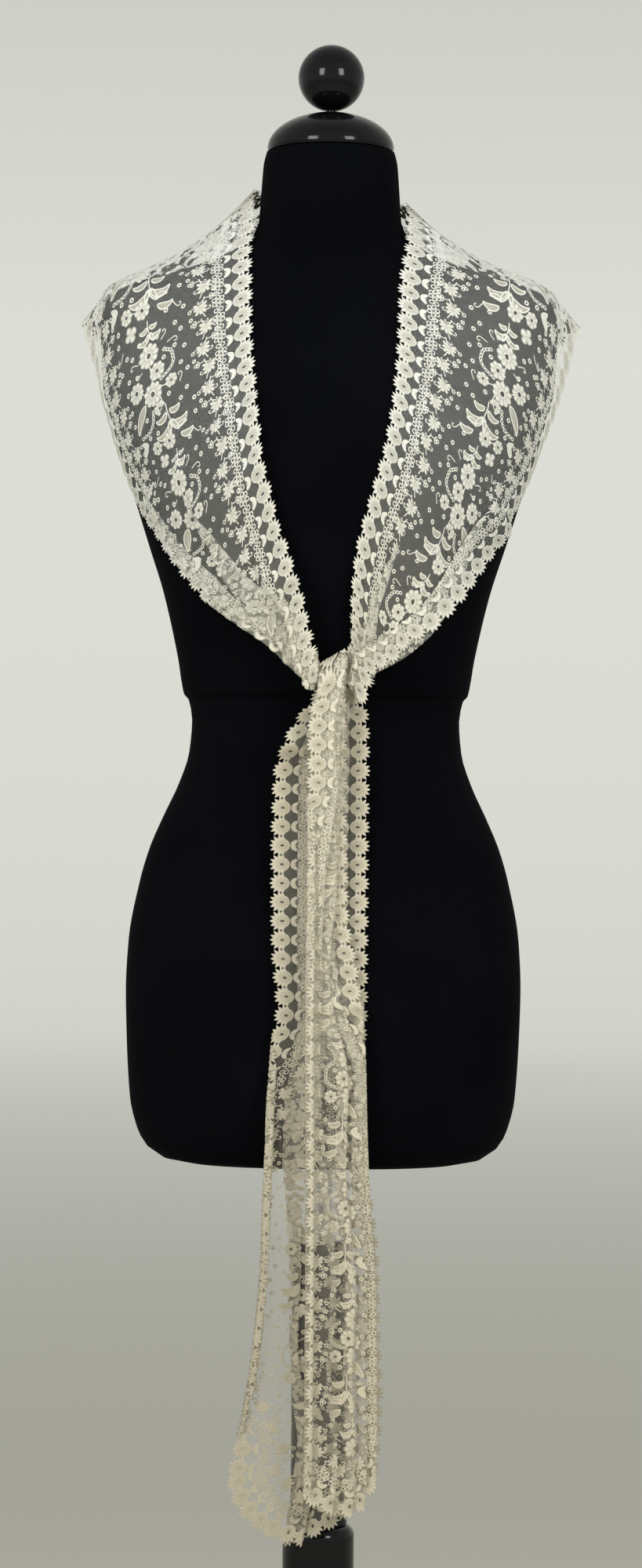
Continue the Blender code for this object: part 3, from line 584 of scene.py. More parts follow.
class Lace:
    """Lace shapes: points (inward, along, height) in millimetres, with faces of four corners.

    The tone of a point sets painted shade: 0 where shade is painted between stitches, 1 where the thread is
    thick and bright.
    Patterns put down on a stretch have points (along, across, height) instead."""

    def __init__(self):
        self.parts = []
        self.point_count = self.shape_count = 0

    def add(self, arrays):
        """Takes in points, faces, tones and the number of each point's shape."""
        points, faces, tones, shapes = arrays
        self.parts.append((points, faces + self.point_count, tones, shapes + self.shape_count))
        self.point_count += len(points)
        self.shape_count += shapes[-1] + 1

    def arrays(self):
        return [np.concatenate(kind) for kind in zip(*self.parts, strict=True)]

    def put(self, pattern, place, heading, inward):
        """Sets a pattern down at (along, across), with the directions of its along and inward axes."""
        points, *rest = pattern
        placed = points.copy()
        placed[:, :2] = place + points[:, :1] * inward + points[:, 1:2] * heading
        self.add((placed, *rest))

    def add_lanes(self, lanes, tones, closed=False, fade=1.0):
        rows = len(lanes)
        row = np.arange(rows if closed else rows - 1)
        after = (row + 1) % rows
        faces = [
            np.stack((row * 3 + lane, row * 3 + lane + 1, after * 3 + lane + 1, after * 3 + lane), axis=1)
            for lane in (0, 1)
        ]
        fade = np.broadcast_to(fade, rows)[:, None]
        point_tones = (np.array([tones[0], tones[1], tones[0]]) * fade).ravel()
        self.add((lanes.reshape(-1, 3), np.concatenate(faces), point_tones, np.zeros(rows * 3, int)))

    def strip(self, spine, half_widths, crown=0.35, tones=(0.5, 1.0), rim=0.0, fade=1.0):
        """A leaf, petal or cord down a curved spine. rim is how high its two edges stand."""
        spine = np.asarray(spine, float)
        half_widths = np.broadcast_to(np.asarray(half_widths, float), len(spine))
        side = beside(spine, half_widths)
        lanes = np.full((len(spine), 3, 3), rim)
        for lane, shift in enumerate((-side, 0, side)):
            lanes[:, lane, :2] = spine + shift
        lanes[:, 1, 2] = crown * np.minimum(1, half_widths / 0.5)
        self.add_lanes(lanes, tones, fade=fade)

    def bent_spine(self, base, angle, length, bend, share):
        """Points that set off at an angle and turn through a bend."""
        heading = math.radians(angle) + math.radians(bend) * (share - 0.3)
        steps = np.diff(share) * length
        middle = (heading[1:] + heading[:-1]) / 2
        run = [summed(part * steps) for part in (np.cos(middle), np.sin(middle))]
        return np.stack([base[0] + run[0], base[1] + run[1]], axis=1)

    def petal(self, base, angle, length, width, crown=0.5, tones=(0.12, 1.0)):
        """A petal, narrow where it starts and darkened there with painted shade, and round at its tip."""
        share = np.array([0.0, 0.3, 0.62, 0.88, 1.0])
        width_there = np.array([0.34, 0.74, 1.0, 0.78, 0.22]) * width / 2
        fade = np.array([0.25, 0.65, 1.0, 1.0, 0.8])
        self.strip(self.bent_spine(base, angle, length, 0, share), width_there, crown, tones, fade=fade)

    def tooth(self, base, angle, length, width, crown=0.4):
        """A pointed tooth of the border's edge."""
        share = np.array([0.0, 0.3, 0.65, 1.0])
        width_there = np.array([0.9, 1.0, 0.62, 0.1]) * width / 2
        self.strip(self.bent_spine(base, angle, length, 0, share), width_there, crown, (0.4, 0.85))

    def leaf(self, base, angle, length, width, bend=60.0, fill=0.0):
        """A pointed leaf which bends as it goes, its two edges corded."""
        share = np.linspace(0, 1, 9)
        width_there = width / 2 * np.sin(np.pi * share**0.8) ** 0.9 + 0.12
        spine = self.bent_spine(base, angle, length, bend, share)
        side = beside(spine, width_there)
        self.strip(spine, width_there, 0.1, (fill, fill), 0.05)
        for edge in (spine - side, spine + side):
            self.strip(edge, min(0.55, width / 4), 0.4, (0.8, 1.0))

    def ring(self, centre, radius, thread, sides=8, stretch=1.0, angle=0.0, crown=0.35, tones=(0.55, 1.0)):
        """A worked ring round a hole. stretch makes it longer in the direction of the angle."""
        turn = np.arange(sides) * 2 * math.pi / sides
        lanes = np.zeros((sides, 3, 3))
        c, s = toward(angle)
        for lane, inset in enumerate((0.0, 0.5, 1.0)):
            reach = radius - inset * thread
            x, y = (reach + radius * (stretch - 1)) * np.cos(turn), reach * np.sin(turn)
            lanes[:, lane, 0] = centre[0] + x * c - y * s
            lanes[:, lane, 1] = centre[1] + x * s + y * c
        lanes[:, 1, 2] = crown
        self.add_lanes(lanes, tones, closed=True)

    def pad(self, centre, radius, hole, stretch=1.0, sides=10, tones=(0.2, 0.3)):
        """The flat cloth-work that lies under petals, coloured mostly in painted shade so that the gaps
        between petals read grey.
        """
        self.ring(centre, radius, radius - hole, sides, stretch, 0.0, 0.02, tones)

    def cord(self, points, half_width=0.5, steps=4):
        """A cord on a smooth curve through the points."""
        self.strip(curve_through(points, (len(points) - 1) * steps + 1), half_width, 0.3)

    def curl(self, base, angle, size, side=1):
        """A tendril that runs out and rolls up."""
        share = np.linspace(0, 1, 14)
        heading = math.radians(angle) + side * math.radians(440) * np.clip(share - 0.2, 0, 1) ** 1.2
        step = size * 2.7 * (1.15 - share) / 14
        x, y = base[0] + summed(np.cos(heading) * step)[:-1], base[1] + summed(np.sin(heading) * step)[:-1]
        self.strip(np.stack([x, y], axis=1), 0.42, 0.3)

    def rose(self, centre, radius, petals=9, start=0.0, span=360.0):
        """An open flower with a dark eye, or a part of one seen from the side."""
        whole = span >= 359
        step = span / (petals if whole else petals - 1)
        width = 2 * math.pi * radius * 0.86 * (step / 360)
        if whole:
            self.pad(centre, radius * 0.7, radius * 0.34)
        inner = radius * 0.3
        for k in range(petals):
            angle = start + step * k
            self.petal(centre + inner * toward(angle), angle, radius - inner, width)
        self.ring(centre, radius * 0.38, radius * 0.15, 10, crown=0.6)

    def flower(self, centre, radius, start):
        """Four broad petals round a ring."""
        for k in range(4):
            self.petal(centre, start + 90 * k, radius, radius * 0.95)
        self.ring(centre, radius * 0.34, radius * 0.16, 8, crown=0.6)

    def chain(self, points, size=1.8):
        """Small joined rings down a curve."""
        spine = curve_through(points, 200)
        length = distance_along(spine)
        count = max(2, round(length[-1] / (size * 1.6)))
        for place in np.linspace(0, length[-1], count):
            at, way = place_on(spine, length, place, 1)
            self.ring(at, size * 0.88, size * 0.5, 8, 1.22, math.degrees(math.atan2(way[1], way[0])))

    def trefoil(self, centre, angle, size):
        """Three rings together."""
        for k in range(3):
            self.ring(centre + size * 0.92 * toward(angle + 120 * k), size, size * 0.56, 8)


def border_repeat(pitch):
    """One scallop of the border: a toothed rose on the edge, a two-leaved bud and the chain of rings."""
    made = Lace()
    half = pitch / 2
    centre = np.array([10.4, 0.0])
    reach = np.array([6.6, 5.9])
    oval = reach[0] / reach[1]
    made.pad(centre, reach[1], 1.0, oval, 14, (0.1, 0.3))
    for k in range(12):
        outward = toward(15 + 30 * k)
        base, tip = centre + outward * (3.1, 2.0), centre + outward * (reach - 0.8)
        angle = math.degrees(math.atan2(*(tip - base)[::-1]))
        made.petal(base, angle, float(np.linalg.norm(tip - base)), 2.2, 0.4, (0.1, 0.6))
    made.ring(centre, reach[1], 1.0, 16, oval, 0, 0.5, (0.45, 0.82))
    made.ring(centre, 1.9, 0.6, 12, 1.8, 0, 0.5, (0.3, 0.7))
    for angle in range(108, 253, 24):
        base = centre + toward(angle) * (reach - 0.5)
        made.tooth(base, angle, 4.5 if abs(angle - 180) < 60 else 3.4, 2.9, 0.45)
    for angle in (86, 274):
        made.tooth(centre + toward(angle) * (reach - 0.6), angle, half - reach[1] + 0.9, 3.2)
    made.cord([(17.0, 0), (19, 0.2), (22.6, 0.0)], 0.4, steps=2)
    for side in (-1, 1):
        made.leaf((18.2, 0.4 * side), 40 * side, 6.0, 2.2, 0, 0.9)
    chain = np.array([28.4, 0.0])
    eye = chain + (0, half)
    for k in range(6):
        made.ring(eye + 3.7 * toward(60 * k + 30), 2.0, 0.85, 8, tones=(1.0, 1.0))
    made.ring(eye, 1.75, 0.7, 8, tones=(1.0, 1.0))
    for inward in (-2.0, 2.0):
        made.ring(chain + (inward, 0), 2.1, 0.85, 8, tones=(1.0, 1.0))
    return made


def sprig_repeat(pitch, side):
    """One flower of the sprig column: a fan of petals with a curl, a trefoil of rings and its stem."""
    made = Lace()
    lean = 1.8 * side
    half, bend = pitch / 2, 0.2 * lean
    stem = [(-lean, -half), (-bend, -half / 2), (lean, 0), (bend, half / 2), (-lean, half)]
    made.cord(stem, 0.45, steps=2)
    made.pad((lean, -0.6), 3.0, 0.4, 1.1, 9)
    for k in range(7):
        made.petal((lean, -0.6), 90 + side * (-125 + 41.6 * k), 6.6 - 0.9 * (k % 2), 2.7)
    made.curl((lean - 2.5 * side, 2.0), 90 + side * 72, 5.2, side)
    made.curl((-lean * 0.4, -pitch * 0.34), 90 - side * 60, 4.2, -side)
    tip = (-8.0 * side, -pitch * 0.38)
    made.cord([(-lean * 0.6, -pitch * 0.42), (-4 * side, -pitch * 0.4), tip], 0.4, steps=2)
    made.trefoil(tip, 90 + side * 90, 1.6)
    made.cord([(lean + 2 * side, -1), (lean + 6 * side, -2.6), (lean + 8 * side, -1.4)], 0.4, steps=2)
    made.ring((lean + 8.8 * side, -0.9), 1.75, 0.9, 8)
    made.ring((lean + 8.4 * side, pitch * 0.33), 1.8, 1.1, 8, crown=0.4)
    return made


def hanging_leaves(made, x, y, size):
    """Curled leaves that hang in pairs from the end of a stem, round a pointed one."""
    for side, first in ((-1, 18.0), (1, 21.0)):
        for out, level, length, width in ((1.2, 4.5, first, 5.4), (2.2, -5.5, first * 0.64, 4.2)):
            base = (x + side * out * size, y + level * size)
            made.leaf(base, 90 + side * -58, length * size, width * size, side * -128)
    made.leaf((x - 1, y + 3 * size), 104, 12 * size, 4.0 * size, 30)
    made.leaf((x + 1, y + 3 * size), 70, 9 * size, 3.2 * size, -30)
    made.cord([(x, y - 12 * size), (x + 0.6, y - 6 * size), (x, y + 3 * size)], 0.5)


def bouquet():
    """One repeat of the middle of the shawl: roses on stems, curled leaves, tendrils, chains and dots."""
    made = Lace()
    made.cord([(2, 0), (6, 10), (3, 24), (4, 36), (-1, 46), (-2, 53)], 0.5)
    made.rose((4, 9), 9.2, 10)
    made.rose((-2, 25), 7.0, 8, 12)
    made.rose((5, 40), 9.2, 10, 8)
    made.rose((20, 29), 7.6, 9)
    made.rose((-13, 40), 5.4, 7, 10)
    made.rose((2, 54), 5.6, 6, 200, 220)
    made.cord([(13, 35), (15, 33), (17, 32)], 0.45)
    made.cord([(-4, 39), (-7, 40), (-9, 40)], 0.45)
    made.leaf((14, 43), 38, 22, 6.4, 24)
    made.cord([(15, 44), (21, 49), (26, 55), (28, 59)], 0.3)
    made.chain([(-5, 33), (-12, 31), (-17, 25), (-16, 17), (-10, 12)])
    made.chain([(9, 53), (12, 60), (19, 64), (27, 63)])
    hanging_leaves(made, -4, 66, 1.0)
    made.cord([(-4, 68), (-2, 76), (3, 82)], 0.45)
    made.rose((4, 82), 6.6, 8)
    made.rose((18, 79), 5.4, 7, 20)
    made.cord([(9, 81), (12, 80), (14, 80)], 0.4)
    made.leaf((-9, 84), 150, 14, 4.6, 100)
    made.leaf((-8, 79), 196, 10, 3.6, -70)
    made.flower((17, 92), 5.8, 20)
    hanging_leaves(made, 1, 99, 0.62)
    made.leaf((26, 70), 30, 10, 4.0, 30, 0.7)
    made.leaf((25, 71), -40, 8, 3.4, -20, 0.7)
    made.curl((-13, 8), 190, 8.0, -1)
    made.curl((-8, 3), 215, 6.6)
    made.curl((14, 10), -30, 7.0)
    made.curl((11, 18), 20, 6.4, -1)
    made.curl((-20, 46), 240, 7.4)
    made.curl((-21, 88), 120, 7.0)
    made.curl((27, 99), 60, 6.6, -1)
    dots = (
        (-25, 4), (-19, 14), (-27, 19), (16, 19), (25, 16), (29, 24), (-9, 18), (-23, 31), (-28, 39),
        (-9, 49), (30, 38), (-25, 54), (17, 54), (-29, 66), (-27, 77), (-15, 92), (29, 84), (11, 70),
        (-29, 96), (24, 106), (11, 104), (-5, 107), (-21, 105), (31, 92), (19, 2), (31, 6), (20, 68),
        (31, 49), (-18, 59),
    )
    for dot in dots:
        made.ring(dot, 1.95, 1.2, 8, crown=0.4)
    return made


def kept_shapes(arrays, test):
    """The shapes whose middle passes the test, a function of its places along and across."""
    points, faces, tones, shapes = arrays
    count = np.maximum(np.bincount(shapes), 1)
    along, across = (np.bincount(shapes, points[:, axis]) / count for axis in range(2))
    keep = test(along, across)[shapes]
    number = np.cumsum(keep) - 1
    return points[keep], number[faces[keep[faces[:, 0]]]], tones[keep], shapes[keep]


def end_track(last, inset):
    """Down the left side of a tail, round its end and up the right side, at an inset from the edge."""
    across = np.linspace(-(HALF_WIDTH - inset), HALF_WIDTH - inset, 81)
    bottom = np.stack([end_place(last, across, inset), across], axis=1)
    return np.concatenate([[[0, across[0]]], bottom, [[0, across[-1]]]])


def repeat_along(lace, patterns, track, pitch, flip=False):
    """Sets patterns down in turn along a track, evenly, with their inward axis to the track's inner side."""
    length = distance_along(track)
    count = max(1, round(length[-1] / pitch))
    for k in range(count):
        at, way = place_on(track, length, (k + 0.5) * length[-1] / count, 2)
        heading = unit(way)
        inward = np.array([-heading[1], heading[0]]) * (-1 if flip else 1)
        lace.put(patterns[k % len(patterns)], at, heading, inward)


def worked_lace(last, round_end, border_pitch, sprig_pitch, bouquet_pitch):
    """All the lace of one stretch, flat."""
    lace, middle = Lace(), Lace()
    border = [border_repeat(border_pitch).arrays()]
    sprigs = [sprig_repeat(sprig_pitch, side).arrays() for side in (1, -1)]
    if round_end:
        repeat_along(lace, border, end_track(last, 0), border_pitch)
        repeat_along(lace, sprigs, end_track(last, SPRIG_INSET), sprig_pitch)
    else:
        for side in (1, -1):
            for patterns, inset, pitch in ((border, 0, border_pitch), (sprigs, SPRIG_INSET, sprig_pitch)):
                across = side * (inset - HALF_WIDTH)
                track = np.array([[0.0, across], [last, across]])
                repeat_along(lace, patterns, track, pitch, side < 0)
    centre = bouquet().arrays()
    for place in np.arange(0, last, bouquet_pitch):
        middle.put(centre, np.array([place, 0.0]), np.array([1.0, 0.0]), np.array([0.0, 1.0]))
    arrays = middle.arrays()
    if round_end:
        arrays = kept_shapes(arrays, lambda along, across: along < end_place(last, across, BOUQUET_END_INSET))
    lace.add(arrays)
    return kept_shapes(lace.arrays(), lambda along, across: (along > -1) & (along < last - 0.5))


# Meshes


def new_object(name, points, faces, material, uv=None, tones=None):
    """An object from points in millimetres. uv gives each point's place in the flat cut."""
    points = np.asarray(points, float) * MM
    groups = faces if isinstance(faces, list) else [faces]
    mesh = bpy.data.meshes.new(name)
    mesh.vertices.add(len(points))
    mesh.vertices.foreach_set("co", points.ravel())
    loops = np.concatenate([group.ravel() for group in groups]).astype(np.int32)
    totals = np.concatenate([np.full(len(group), group.shape[1]) for group in groups])
    mesh.loops.add(len(loops))
    mesh.loops.foreach_set("vertex_index", loops)
    mesh.polygons.add(len(totals))
    mesh.polygons.foreach_set("loop_start", summed(totals)[:-1].astype(np.int32))
    mesh.polygons.foreach_set("use_smooth", np.full(len(totals), True))
    if uv is not None:
        layer = mesh.uv_layers.new(name="FlatCut")
        layer.data.foreach_set("uv", (np.asarray(uv, float) / UV_UNIT)[loops].ravel().astype(np.float32))
    if tones is not None:
        mesh.attributes.new("tone", "FLOAT", "POINT").data.foreach_set("value", tones.astype(np.float32))
    mesh.update(calc_edges=True)
    mesh.validate()
    mesh.materials.append(material)
    obj = bpy.data.objects.new(name, mesh)
    bpy.context.scene.collection.objects.link(obj)
    return obj


def grid_faces(rows, columns):
    row, column = np.meshgrid(np.arange(rows - 1), np.arange(columns - 1), indexing="ij")
    corner = (row * columns + column).ravel()
    return np.stack([corner, corner + 1, corner + columns + 1, corner + columns], axis=1)


def ring_faces(rings, sides):
    """Faces between rings of points round the axis, each on the one before."""
    ring, side = np.meshgrid(np.arange(rings - 1), np.arange(sides), indexing="ij")
    a, b = (ring * sides + side).ravel(), (ring * sides + (side + 1) % sides).ravel()
    return np.stack([a, b, b + sides, a + sides], axis=1)


def net_sheet(name, stretch, first, last, columns, round_end, material):
    """The net ground of a stretch as one thin sheet, its edge lying under the border's roses."""
    edge = HALF_WIDTH - NET_INSET
    across = np.linspace(-edge, edge, columns)
    rows = max(2, round((last - first) / NET_STEP) + 1)
    lowest = end_place(last, across, NET_INSET)[None] if round_end else np.full((1, columns), last)
    along = first + (lowest - first) * np.linspace(0, 1, rows)[:, None]
    across = np.broadcast_to(across[None], along.shape)
    points = stretch.placed(along, across, np.zeros_like(along))
    uv = np.stack([across.ravel(), along.ravel()], axis=1)
    return new_object(name, points.reshape(-1, 3), grid_faces(rows, columns), material, uv)


def lace_object(name, stretch, arrays, relief, material):
    points, faces, tones, _ = arrays
    placed = stretch.placed(points[:, 0], points[:, 1], (points[:, 2] + LACE_LIFT) * relief)
    return new_object(name, placed, faces, material, points[:, [1, 0]], tones)


def turned_rings(profile):
    """Rings of points about the stand's axis from rows of (radius, height)."""
    rows = np.array(profile, float)
    turn = np.arange(TURNED_SIDES) * 2 * math.pi / TURNED_SIDES
    heights = np.repeat(rows[:, 1:], TURNED_SIDES, axis=1)
    return np.stack([rows[:, :1] * np.cos(turn), rows[:, :1] * np.sin(turn), heights], axis=-1)


def closed_round(name, rings, material):
    """A piece from rings of points stacked up the axis, closed at both ends."""
    count, sides = rings.shape[:2]
    ends = [[0, 0, rings[0, 0, 2]], [0, 0, rings[-1, 0, 2]]]
    side = np.arange(sides)
    after, top = (side + 1) % sides, (count - 1) * sides
    low = np.stack([np.full(sides, count * sides), after, side], axis=1)
    high = np.stack([np.full(sides, count * sides + 1), top + side, top + after], axis=1)
    points = np.concatenate([rings.reshape(-1, 3), ends])
    return new_object(name, points, [ring_faces(count, sides), low, high], material)


def arc_rows(centre_radius, centre_height, radius, start, end, steps):
    """Profile rows round an arc, its angles in degrees from the horizontal."""
    angle = np.radians(np.linspace(start, end, steps + 1))
    rows = centre_radius + radius * np.cos(angle), centre_height + radius * np.sin(angle)
    return list(zip(*rows, strict=True))


def torso_cover(material):
    """The form's knitted cover, with finer rings at the waist's step."""
    fine = (np.arange(680, 1550, 9), np.arange(1070, 1086, 1.5))
    heights = np.unique(np.concatenate([FORM.rows[:, 0], *fine]))[:, None]
    turn = np.arange(TORSO_SIDES) * 2 * math.pi / TORSO_SIDES
    cosine, sine = np.cos(turn), np.sin(turn)
    half_width, front, back, squareness = FORM.read_each("half_width front back squareness", heights)
    power = 2 / squareness
    x = half_width * np.sign(cosine) * np.abs(cosine) ** power
    y = np.where(sine < 0, front, back) * np.sign(sine) * np.abs(sine) ** power
    return closed_round("torso_cover", np.stack([x, y, np.broadcast_to(heights, x.shape)], axis=-1), material)


# Finishes


class Finish:
    """A material and the nodes that colour it."""

    def __init__(self, name, colour, roughness, specular=0.5):
        self.material = bpy.data.materials.new(name)
        self.material.use_nodes = True
        self.tree = self.material.node_tree
        self.inputs = self.tree.nodes["Principled BSDF"].inputs
        self.join(colour, self.inputs["Base Color"])
        self.inputs["Roughness"].default_value = roughness
        self.inputs["Specular IOR Level"].default_value = specular

    def join(self, value, socket):
        """Links an output to the socket, or sets the socket to a number or a colour."""
        if isinstance(value, bpy.types.NodeSocket):
            self.tree.links.new(value, socket)
        else:
            socket.default_value = value if isinstance(value, (int, float)) else (*value, 1)

    def node(self, kind):
        return self.tree.nodes.new("ShaderNode" + kind)

    def math(self, operation, *values):
        node = self.node("Math")
        node.operation = operation
        for socket, value in zip(node.inputs, values, strict=False):
            self.join(value, socket)
        return node.outputs[0]

    def mixed(self, factor, first, second):
        node = self.node("Mix")
        node.data_type = "RGBA"
        for socket, value in ((0, factor), (6, first), (7, second)):
            self.join(value, node.inputs[socket])
        return node.outputs[2]

    def rising(self, value, low, high):
        """0 up to the low value, 1 from the high one."""
        node = self.node("MapRange")
        node.inputs["From Min"].default_value, node.inputs["From Max"].default_value = low, high
        self.join(value, node.inputs["Value"])
        return node.outputs[0]

    def noise(self, scale, detail=2.0, vector=None):
        node = self.node("TexNoise")
        node.inputs["Scale"].default_value, node.inputs["Detail"].default_value = scale, detail
        vector = self.node("TexCoord").outputs["Object"] if vector is None else vector
        self.join(vector, node.inputs["Vector"])
        return node.outputs["Fac"]

    def bump(self, height, strength, distance):
        node = self.node("Bump")
        node.inputs["Strength"].default_value, node.inputs["Distance"].default_value = strength, distance
        self.join(height, node.inputs["Height"])
        self.join(node.outputs[0], self.inputs["Normal"])

    def flat_cut(self):
        """The coordinates of the flat cut, and the places across and along it in millimetres."""
        uv = self.node("UVMap")
        uv.uv_map = "FlatCut"
        split = self.node("SeparateXYZ")
        self.join(uv.outputs[0], split.inputs[0])
        return uv.outputs[0], *(self.math("MULTIPLY", split.outputs[k], UV_UNIT) for k in range(2))

    def threads(self, across, along, angle, pitch, width):
        """1 on a set of straight threads at an angle to the cloth's length, else 0."""
        steps = [
            self.math("MULTIPLY", place, part / pitch)
            for place, part in zip((across, along), toward(angle).tolist(), strict=True)
        ]
        away = self.math("SUBTRACT", self.math("FRACT", self.math("ADD", *steps)), 0.5)
        return self.math("LESS_THAN", self.math("ABSOLUTE", away), width / pitch / 2)


def lace_thread_finish(name, lace, end, span, ageing, shade, aged):
    """Cotton lace: fine stitches, painted shade between the raised parts, and yellowed here and there.

    Its colour changes to that of the end between the two places along the cut in the span. Behind the neck
    and down the tails, the darker colours are painted shade."""
    finish = Finish(name, lace, 0.85, 0.25)
    uv, across, along = finish.flat_cut()
    tone = finish.node("Attribute")
    tone.attribute_name = "tone"
    raised = finish.math("POWER", tone.outputs["Fac"], 0.8)
    bright = finish.mixed(finish.rising(finish.math("ABSOLUTE", along), *span), lace, end)
    # painted shade: the tone mixes the colour down to the shade colour between the raised parts
    with_painted_shade = finish.mixed(raised, shade, bright)
    yellowed = finish.math("MULTIPLY", finish.noise(14.0, 3.0), ageing)
    finish.join(finish.mixed(yellowed, with_painted_shade, aged), finish.inputs["Base Color"])
    ribs = finish.math("SINE", finish.math("MULTIPLY", finish.math("ADD", across, along), 9.0))
    grain = finish.math("ADD", finish.math("MULTIPLY", ribs, 0.5), finish.noise(260.0, vector=uv))
    finish.bump(grain, 0.5, 0.00015)
    return finish.material


def net_finish(name, colour, end, span, mesh, thread):
    """Fine net: two crossing sets of threads with holes between them, its colour changing along the span."""
    finish = Finish(name, colour, 0.85, 0.2)
    _, across, along = finish.flat_cut()
    changing = finish.mixed(finish.rising(finish.math("ABSOLUTE", along), *span), colour, end)
    finish.join(changing, finish.inputs["Base Color"])
    sets = [finish.threads(across, along, angle, mesh / MM, thread / MM) for angle in (38, 142)]
    finish.join(finish.math("MAXIMUM", *sets), finish.inputs["Alpha"])
    return finish.material


def jersey_finish(colour):
    """Black knitted cover with a fine grain."""
    finish = Finish("black_jersey", colour, 0.9, 0.03)
    grain, blotch = finish.noise(900.0), finish.noise(9.0)
    lighter = [min(1, 2.2 * part + 0.002) for part in colour]
    factor = finish.math("MULTIPLY", finish.math("MULTIPLY", grain, blotch), 1.6)
    finish.join(finish.mixed(factor, colour, lighter), finish.inputs["Base Color"])
    finish.bump(grain, 0.35, 0.0004)
    return finish.material


def lacquer_finish(colour):
    """Glossy black lacquer with very slight ripples."""
    finish = Finish("black_lacquer", colour, 0.14, 0.16)
    ripple = finish.noise(22.0)
    roughness = finish.math("ADD", finish.math("MULTIPLY", ripple, 0.08), 0.08)
    finish.join(roughness, finish.inputs["Roughness"])
    finish.bump(ripple, 0.04, 0.002)
    finish.inputs["Coat Weight"].default_value = 0.12
    finish.inputs["Coat Roughness"].default_value = 0.06
    return finish.material


def steel_finish():
    finish = Finish("pole_steel", (0.45, 0.45, 0.46), 0.3)
    finish.inputs["Metallic"].default_value = 1.0
    streak = finish.math("MULTIPLY", finish.noise(60.0, 4.0), 0.25)
    finish.join(finish.math("ADD", streak, 0.2), finish.inputs["Roughness"])
    return finish.material


def backdrop_finish(near, wall):
    """Pale paper, lit like the rest near the stand; far off it is painted light, glowing evenly, dimmer
    higher up.
    """
    finish = Finish("backdrop_with_painted_glow", near, 0.95, 0.0)
    place = finish.node("TexCoord").outputs["Object"]
    flat, away = finish.node("VectorMath"), finish.node("VectorMath")
    flat.operation, away.operation = "MULTIPLY", "LENGTH"
    flat.inputs[1].default_value = (1, 1, 0)
    finish.join(place, flat.inputs[0])
    finish.join(flat.outputs[0], away.inputs[0])
    # painted light: from 2 m to 14 m away, the paper's own colour gives way to a glow in the wall colour
    far = finish.rising(away.outputs["Value"], 2.0, 14.0)
    split = finish.node("SeparateXYZ")
    finish.join(place, split.inputs[0])
    # painted fall-off: higher up, between 3 m and 5 m, the glow dims to 0.82 of the wall colour
    black, dimmed_top_glow = (0.0, 0.0, 0.0), [0.82 * part for part in wall]
    wall = finish.mixed(finish.rising(split.outputs["Z"], 3.0, 5.0), wall, dimmed_top_glow)
    finish.join(finish.mixed(far, near, black), finish.inputs["Base Color"])
    finish.join(finish.mixed(far, black, wall), finish.inputs["Emission Color"])
    finish.inputs["Emission Strength"].default_value = 1.0
    return finish.material


# Settings that a user would change


def length(name, description, default):
    return FloatProperty(
        name=name, description=description, default=default, subtype="DISTANCE", unit="LENGTH"
    )


def colour(name, description, *default):
    return FloatVectorProperty(name=name, description=description, default=default, subtype="COLOR")


class LaceSizes(bpy.types.PropertyGroup):
    net_mesh: length("Net mesh", "Width of one mesh of the net", 0.0008)
    net_thread: length("Net thread", "Thickness of the net's thread", 0.00006)
    worn_border_repeat: length("Border repeat where worn", "One scallop over the shoulders", 0.0152)
    tail_border_repeat: length("Border repeat of the tails", "One scallop down the tails", 0.0158)
    sprig_repeat: length("Sprig repeat", "Length of one sprig", 0.0175)
    bouquet_repeat: length("Bouquet repeat", "Length of one bouquet down the middle", 0.108)
    relief: FloatProperty(
        name="Relief", description="How far the lace stands off the net", default=1.0, min=0.2, max=2.0
    )


class Colours(bpy.types.PropertyGroup):
    lace: colour("Lace", "Raised parts of the lace", 0.9, 0.905, 0.835)
    # painted shade: the lace behind the neck is coloured darker for lying in the neck's shade
    shaded_neck_lace: colour("Back lace", "Raised parts behind the neck", 0.5, 0.49, 0.41)
    tail_lace: colour("Tail lace", "Raised parts of the knot and front tail", 0.86, 0.82, 0.67)
    # painted shade, with some yellowing: the front tail darkens to this towards its end, where the lamps
    # reach it less
    tail_shaded_end: colour("Tail end", "Raised parts at the front tail's end", 0.64, 0.58, 0.43)
    # painted shade: the rear tail is coloured darker than the front tail for hanging in its shade, and darker
    # still at its end
    rear_shaded_top: colour("Rear tail", "Raised parts of the rear tail", 0.68, 0.64, 0.51)
    rear_shaded_end: colour("Rear tail end", "Raised parts at the rear tail's end", 0.45, 0.41, 0.3)
    # painted shade: the tails' net darkens to this towards the bottom
    tail_shaded_net: colour("Tail net", "Thread of the tails' net", 0.5, 0.46, 0.36)
    # painted shade between the raised parts of the lace, on the tails and elsewhere
    tail_shade: colour("Tail shade", "Between the raised parts of the tails", 0.42, 0.38, 0.28)
    lace_shade: colour("Lace shade", "Between the raised parts", 0.44, 0.43, 0.36)
    lace_aged: colour("Lace aged", "Yellowed places", 0.74, 0.66, 0.46)
    net: colour("Net", "Thread of the net", 0.82, 0.84, 0.77)
    # painted shade: the net behind the neck is coloured darker for lying in shade
    shaded_neck_net: colour("Back net", "Thread of the net behind the neck", 0.34, 0.34, 0.3)
    jersey: colour("Jersey", "Cover of the form", 0.0009, 0.0011, 0.0018)
    lacquer: colour("Lacquer", "Cap, ball and stand", 0.004, 0.004, 0.005)
    backdrop: colour("Backdrop", "Paper below", 0.61, 0.6, 0.51)
    # painted light: far off, the paper glows in this colour
    painted_glow_wall: colour("Far wall", "Paper far behind", 0.72, 0.735, 0.67)


class StageSettings(bpy.types.PropertyGroup):
    main_light: FloatProperty(
        name="Main lights", description="Power of each soft box", default=43.0, min=0, unit="POWER"
    )
    sky: FloatProperty(name="Room light", description="Light from all round", default=0.5, min=0)
    distance: length("Camera distance", "From the form's axis", 3.2)


